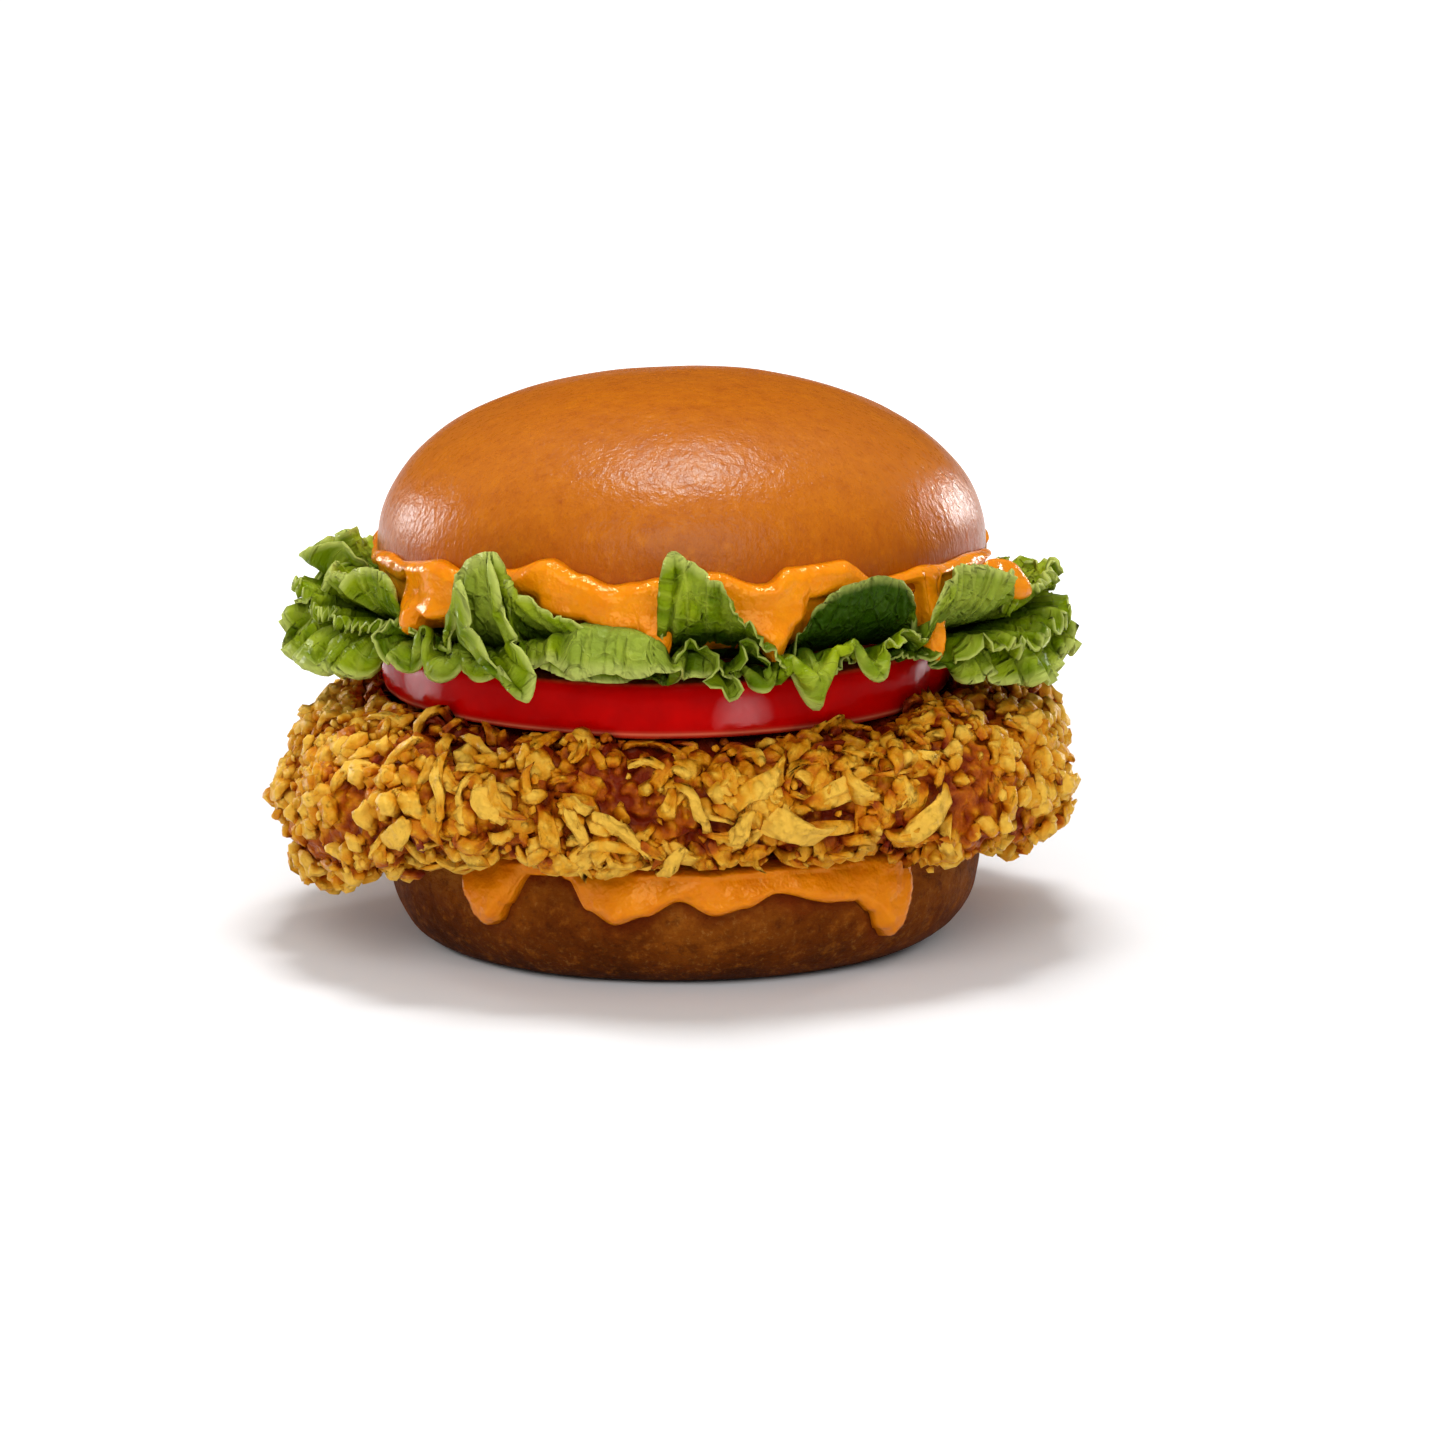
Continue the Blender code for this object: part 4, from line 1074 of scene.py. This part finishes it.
def make_lettuce():
    """Two leaves that stand for the nodes, and the frilled folds between them."""
    look = leaf_look()
    # After where each leaf is held come its stretches of painted shade, as from angle, to angle and depth,
    # and then its paler stretches.
    make_leaf(
        "lettuce_lower_leaf", LOWER_LEAF, NO_LEAN, NOWHERE, (), ((-21, 0),), LOWER_LEAF_Z, 301, look,
        "lettuce_lower",
    )
    make_leaf(
        "lettuce_middle_leaf", MIDDLE_LEAF, NO_LEAN, (-46, -9), ((-8, 14, 0.42),), ((-40, -28),),
        MIDDLE_LEAF_Z, 331, look,
    )
    make_leaf(
        "lettuce_upper_leaf", UPPER_LEAF, UPPER_LEAN, (-66, 62), ((19.5, 45, 0.96), (4, 16, 0.42)),
        ((46, 66),), UPPER_LEAF_Z, 361, look, "lettuce_upper",
    )


# The two sauces

SAUCE_GAP = 0.15 * MM
SAUCE_SHEET = 1.5 * MM
SAUCE_COLUMNS = 840

# Each row: angle in degrees, then how high the upper sauce reaches up the crown and how thick it lies
UPPER_EDGE = (
    (-180, 67, 1.6), (-160, 69, 2.0), (-140, 66.5, 1.6), (-120, 68.0, 2.0), (-104, 65.5, 1.5),
    (-84, 63.8, 1.4), (-72, 65.4, 2.0), (-64, 65.2, 1.8), (-56, 65.8, 2.4), (-48, 67.4, 3.2),
    (-41, 66, 2.2), (-34, 67.5, 1.9), (-24, 69.4, 2.6), (-18, 67.2, 2.2), (-13, 66, 2.6), (-8, 66.8, 2.6),
    (-4, 67.5, 2.2), (2, 68, 1.8), (7, 68.2, 2.0), (15, 65.8, 2.8), (19.5, 68.2, 2.4), (30, 68.6, 2.0),
    (37, 65.8, 1.8), (44, 65.6, 1.8), (50, 66.4, 2.4), (58, 65.8, 1.9), (66, 65.6, 2.2), (76, 64.6, 1.8),
    (88, 63.6, 1.4), (104, 65.5, 1.8), (120, 68.5, 2.1), (140, 66.5, 1.6), (160, 68, 2.0),
)
# Each run of sauce under the crown: angle and half width in degrees, and how far down it runs
UPPER_RUNS = (
    (-66, 7, 2.0), (-55, 3.4, 9.6), (-48.5, 7, 6.0), (-18, 8, 3.4), (-10, 7, 5.2), (-4.3, 3.0, 10.6),
    (8, 7, 5), (15, 7.5, 5.2), (15.6, 4.2, 7.4), (15.8, 2.4, 9.0), (36, 7, 1.0), (50, 2.0, 13.4),
    (67, 4.5, 4.0), (118, 8, 5.0), (150, 6, 6.5), (-172, 9, 4.0), (-138, 6, 6.5), (-104, 7, 3.0),
    (-82, 6, 2.0),
)
# Each row: angle in degrees, then how low the lower sauce runs on the heel, in millimetres
LOWER_EDGE = (
    (-180, 16), (-168, 11), (-160, 17.5), (-142, 17.8), (-132, 14), (-124, 17.8), (-98, 18), (-88, 15),
    (-80, 18.2), (-60, 18.3), (-47.5, 18.3), (-44, 13.0), (-42, 10.2), (-39.5, 9.2), (-37, 10.2),
    (-35, 13.0), (-31.5, 17.8), (-25, 18.2), (-23, 17.6), (-18.5, 13.2), (-13, 11.3), (-7, 12.8),
    (-0.5, 15.2), (6.3, 12.9), (12, 13.9), (19, 16.2), (30, 13.7), (35, 13.4), (38.5, 11.2), (40.5, 8.0),
    (42.8, 6.4), (45, 7.6), (47.3, 11.6), (49.5, 18.2), (70, 18.3), (79, 15.2), (86, 18.2), (104, 18.2),
    (112, 10), (119, 14), (127, 18), (139, 17.5), (146, 13.5), (153, 17.5),
)
UPPER_EDGE_LIFT = 0.8 * MM
UPPER_TIP_Z = 64.4 * MM


def run_down(table, angle):
    """How far the sauce runs down at some angles: round-ended runs that melt into each other."""
    total = 0
    for middle, half_width, drop in table:
        away = np.abs((np.degrees(angle) - middle + 180) % 360 - 180) / half_width
        depth = drop * (0.8 * np.cbrt(np.maximum(1 - away**3, 0)) + 0.2 * np.maximum(1 - away / 2, 0) ** 2)
        total = total + depth**4
    return total**0.25 * MM


def lower_edge(angle):
    """How low the lower sauce reaches."""
    return around(LOWER_EDGE, angle)[0] * MM + 0.4 * MM * uneven(angle, 17, 7)


def sauce_look():
    """Thick, glossy orange sauce, a little translucent."""
    look, tree, shader = look_of("sauce")
    place = place_in(tree)
    orange = ramp_in(tree, noise_in(tree, place, 220, 3, 0.6), (
        (0.3, (0.74, 0.200, 0.001)), (0.7, (0.84, 0.275, 0.002)),
    ))
    deeper = blend_in(tree, 0.25, orange, (0.66, 0.150, 0.001))
    lumps = bump_in(tree, noise_in(tree, place, 300, 3, 0.55), 0.0016, 0.5)
    connect(tree, shader, {
        "Base Color": blend_in(tree, curve_in(tree, height_in(tree), 0.030, 0.045), deeper, orange),
        "Roughness": 0.2,
        "Specular IOR Level": 0.6,
        "Specular Tint": (1.0, 0.62, 0.22, 1),
        "Subsurface Weight": 0.25,
        "Subsurface Radius": (0.0035, 0.0014, 0.0004),
        "Normal": bump_in(tree, noise_in(tree, place, 1700, 2, 0.5), 0.0002, 0.3, lumps),
    })
    return look


def bead(angles, height, radius, upper, lower, reach):
    """How full the sauce is at each point, from 0 at its outline to 1 at reach or more inside it."""
    step = math.tau / len(angles)
    nearest = np.full(height.shape, np.inf)
    for shift in range(-8, 9):
        across = shift * step * radius
        above = np.maximum(height - np.roll(lower, shift)[None, :], 0)
        below = np.maximum(np.roll(upper, shift)[None, :] - height, 0)
        nearest = np.minimum(nearest, across**2 + np.minimum(above, below) ** 2)
    share = np.clip(np.sqrt(nearest) / reach, 0, 1)
    return np.sqrt(1 - (1 - share) ** 2)


def make_upper_sauce(look):
    """It hangs from the crown's rim in runs, and lies against its cut face behind them."""
    angles = round_the_axis(SAUCE_COLUMNS)
    edge, thick = around(UPPER_EDGE, angles) * MM
    edge = edge + UPPER_EDGE_LIFT + 0.8 * MM * uneven(angles, 14, 9)
    run = run_down(UPPER_RUNS, angles)
    tip = UPPER_TIP_Z - run + 0.5 * MM * uneven(angles, 15, 7)
    share = np.linspace(0, 1, 36)[:, None]
    height = edge + share * (tip - edge)
    inner = crown_radius(angles, np.maximum(height, CROWN_WIDEST_Z)) + SAUCE_GAP
    hang = 1.2 * MM * smooth((CROWN_WIDEST_Z - height) / (9 * MM))
    full = bead(angles, height, CROWN_RADIUS, edge, tip, 2.0 * MM)
    low = smooth((CROWN_WIDEST_Z - 2 * MM - height) / (5 * MM))
    flat = at(angles, inner, height)
    lumps = noise(flat, 5.5 * MM, 16) + 0.5 * noise(flat, 2.6 * MM, 26)
    outside = at(angles, inner + hang + full * (thick * (1 + 0.35 * low) + 0.6 * MM * lumps), height)
    under = CROWN_CUT_Z - SAUCE_GAP - SAUCE_SHEET
    rim = crown_radius(angles, CROWN_WIDEST_Z) + SAUCE_GAP
    back = []
    for part in np.linspace(0.06, 1, 10):
        radius = curved(part, rim + hang[-1] - 0.2 * MM, rim - 0.8 * MM, 45 * MM)
        back.append(at(angles, radius, curved(part, tip, CROWN_CUT_Z - 0.4 * MM, under)))
    levels = CROWN_WIDEST_Z - CROWN_DROP * np.sin(np.radians(np.linspace(86, 0, 8)))[:, None]
    against = at(angles, crown_radius(angles, levels + 0 * angles) + SAUCE_GAP, levels - SAUCE_GAP)
    mesh, _ = closed_mesh("sauce_under_crown", np.concatenate([against, outside, back]))
    piece("sauce_under_crown", mesh, look, "sauce_upper")


# A tail of sauce on the leaves at the right: angle in degrees, radius and height of its two ends
TAIL_ENDS = ((63, 52.8 * MM, 66.6 * MM), (71, 58.5 * MM, 60.6 * MM))
TAIL_HALF_SIZES = (5.4 * MM, 2.5 * MM, 1.7 * MM)


def make_sauce_tail(look):
    """A long drop of sauce that lies on the leaves."""
    first, last = (at(math.radians(angle), radius, height) for angle, radius, height in TAIL_ENDS)
    along = (last - first) / np.linalg.norm(last - first)
    out = (first + last) * (1, 1, 0)
    out -= along * (out @ along)
    out /= np.linalg.norm(out)
    axes = np.stack([along, np.cross(out, along), out])
    unit, faces = ball(5)
    points = (first + last) / 2 + unit * TAIL_HALF_SIZES * (1 + 0.3 * unit[:, :1]) @ axes
    points = points + unit @ axes * (0.8 * MM * noise(points, 3.4 * MM, 44))[:, None]
    piece("sauce_tail", mesh_of("sauce_tail", points, [], faces), look)


def make_lower_sauce(look):
    """It lies on the heel's cut face and runs over its side."""
    angles = round_the_axis(SAUCE_COLUMNS)
    top = HEEL_CUT_Z + SAUCE_GAP + SAUCE_SHEET
    start = np.full_like(angles, HEEL_CUT_Z + 0.9 * SAUCE_SHEET)
    tip = lower_edge(angles)
    run = HEEL_CUT_Z - tip
    share = np.linspace(0, 1, 32)[:, None]
    height = start + share * (tip - start)
    inner = heel_radius(angles, height) + SAUCE_GAP
    full = bead(angles, height, HEEL_RADIUS, start + 9 * MM, tip, 1.9 * MM) * smooth(0.55 + share * 4)
    thick = 2.7 * MM * (1 + 0.3 * uneven(angles, 18, 4)) * (1 + 0.25 * smooth(run / (8 * MM)) * share)
    flat = at(angles, inner, height)
    lumps = noise(flat, 6 * MM, 19) + 0.5 * noise(flat, 2.8 * MM, 29)
    outside = at(angles, inner + full * (thick + 0.9 * MM * lumps), height)
    lid = [at(angles, radius * MM, top + 0.25 * MM * uneven(angles, 20, 3)) for radius in (20, 36, 42.5)]
    levels = np.linspace(0.98, 0.05, 6)[:, None]
    back_height = HEEL_CUT_Z + levels * (tip - HEEL_CUT_Z)
    back = at(angles, heel_radius(angles, back_height) + SAUCE_GAP * 0.7, back_height)
    bottom = flat_rings(angles, (43.6, 30), HEEL_CUT_Z + SAUCE_GAP)
    mesh, _ = closed_mesh("sauce_on_heel", np.concatenate([lid, outside, back, bottom]))
    piece("sauce_on_heel", mesh, look, "sauce_lower")


# Studio: floor, lights, camera

CAMERA_DISTANCE = 0.881
CAMERA_ELEVATION = 12
CAMERA_LENS = 132.5
CAMERA_SENSOR = 36
LOOK_AT = Vector((0.006, 0, 0.0348))
LIGHTS_AIM = Vector((0, 0, 0.05))
# Each light: its name, place, width, height and power
LIGHTS = (
    ("overhead", (0.0, 0.06, 0.75), 0.24, 0.17, 3.3),
    ("key", (0.0, -0.95, 0.75), 1.0, 0.7, 6.8),
    ("rim_left", (-0.60, 0.40, 0.20), 0.08, 0.2, 2.0),
    ("rim_right", (0.56, 0.58, 0.20), 0.08, 0.2, 2.0),
)
FLOOR_HALF = 6


def placed(name, data, place, way):
    """An object in the scene that looks along a way from its place."""
    made = bpy.data.objects.new(name, data)
    bpy.context.scene.collection.objects.link(made)
    made.location = place
    made.rotation_mode = "QUATERNION"
    made.rotation_quaternion = way.to_track_quat("-Z", "Y")
    return made


def make_floor():
    """A floor that shines a little, more so further out, until it meets the light around it."""
    half = FLOOR_HALF
    corners = [(-half, -half, 0), (half, -half, 0), (half, half, 0), (-half, half, 0)]
    mesh = mesh_of("floor", corners, [(0, 1, 2, 3)])
    floor = bpy.data.objects.new("floor", mesh)
    bpy.context.scene.collection.objects.link(floor)
    look, tree, shader = look_of("floor")
    connect(tree, shader, {
        "Base Color": (0.84, 0.84, 0.85, 1),
        "Roughness": 0.8,
        "Specular IOR Level": 0,
        "Emission Color": (1, 1, 1, 1),
        "Emission Strength": curve_in(tree, vector_in(tree, "LENGTH", place_in(tree)), 0.14, 0.5, 0.0, 0.75),
    })
    mesh.materials.append(look)


def make_studio():
    """White light all round, weaker from low behind, the floor, four lights and the camera."""
    scene = bpy.context.scene
    scene.world = bpy.data.worlds.new("studio")
    scene.world.use_nodes = True
    sky = scene.world.node_tree
    way = add(sky, "ShaderNodeSeparateXYZ", {0: add(sky, "ShaderNodeTexCoord").outputs["Generated"]}).outputs
    low_behind = math_in(sky, way["Y"], way["Z"], "SUBTRACT")
    connect(sky, sky.nodes["Background"], {
        "Color": (1, 1, 1, 1),
        "Strength": curve_in(sky, low_behind, -0.3, 0.4, 0.42, 0.05),
    })
    make_floor()
    for name, place, width, height, power in LIGHTS:
        light = bpy.data.lights.new(name, "AREA")
        light.shape = "RECTANGLE"
        light.size = width
        light.size_y = height
        light.energy = power
        placed(name, light, place, LIGHTS_AIM - Vector(place))
    rise = math.radians(CAMERA_ELEVATION)
    back = Vector((0, -math.cos(rise), math.sin(rise)))
    camera = placed("camera", bpy.data.cameras.new("camera"), LOOK_AT + back * CAMERA_DISTANCE, -back)
    camera.data.sensor_width = CAMERA_SENSOR
    camera.data.lens = CAMERA_LENS
    scene.camera = camera
    scene.view_settings.view_transform = "Standard"


make_crown()
make_heel()
make_tomato()
crust = crust_look()
make_flakes(crust, *make_fillet(crust))
make_lettuce()
sauce = sauce_look()
make_upper_sauce(sauce)
make_lower_sauce(sauce)
make_sauce_tail(sauce)
make_studio()
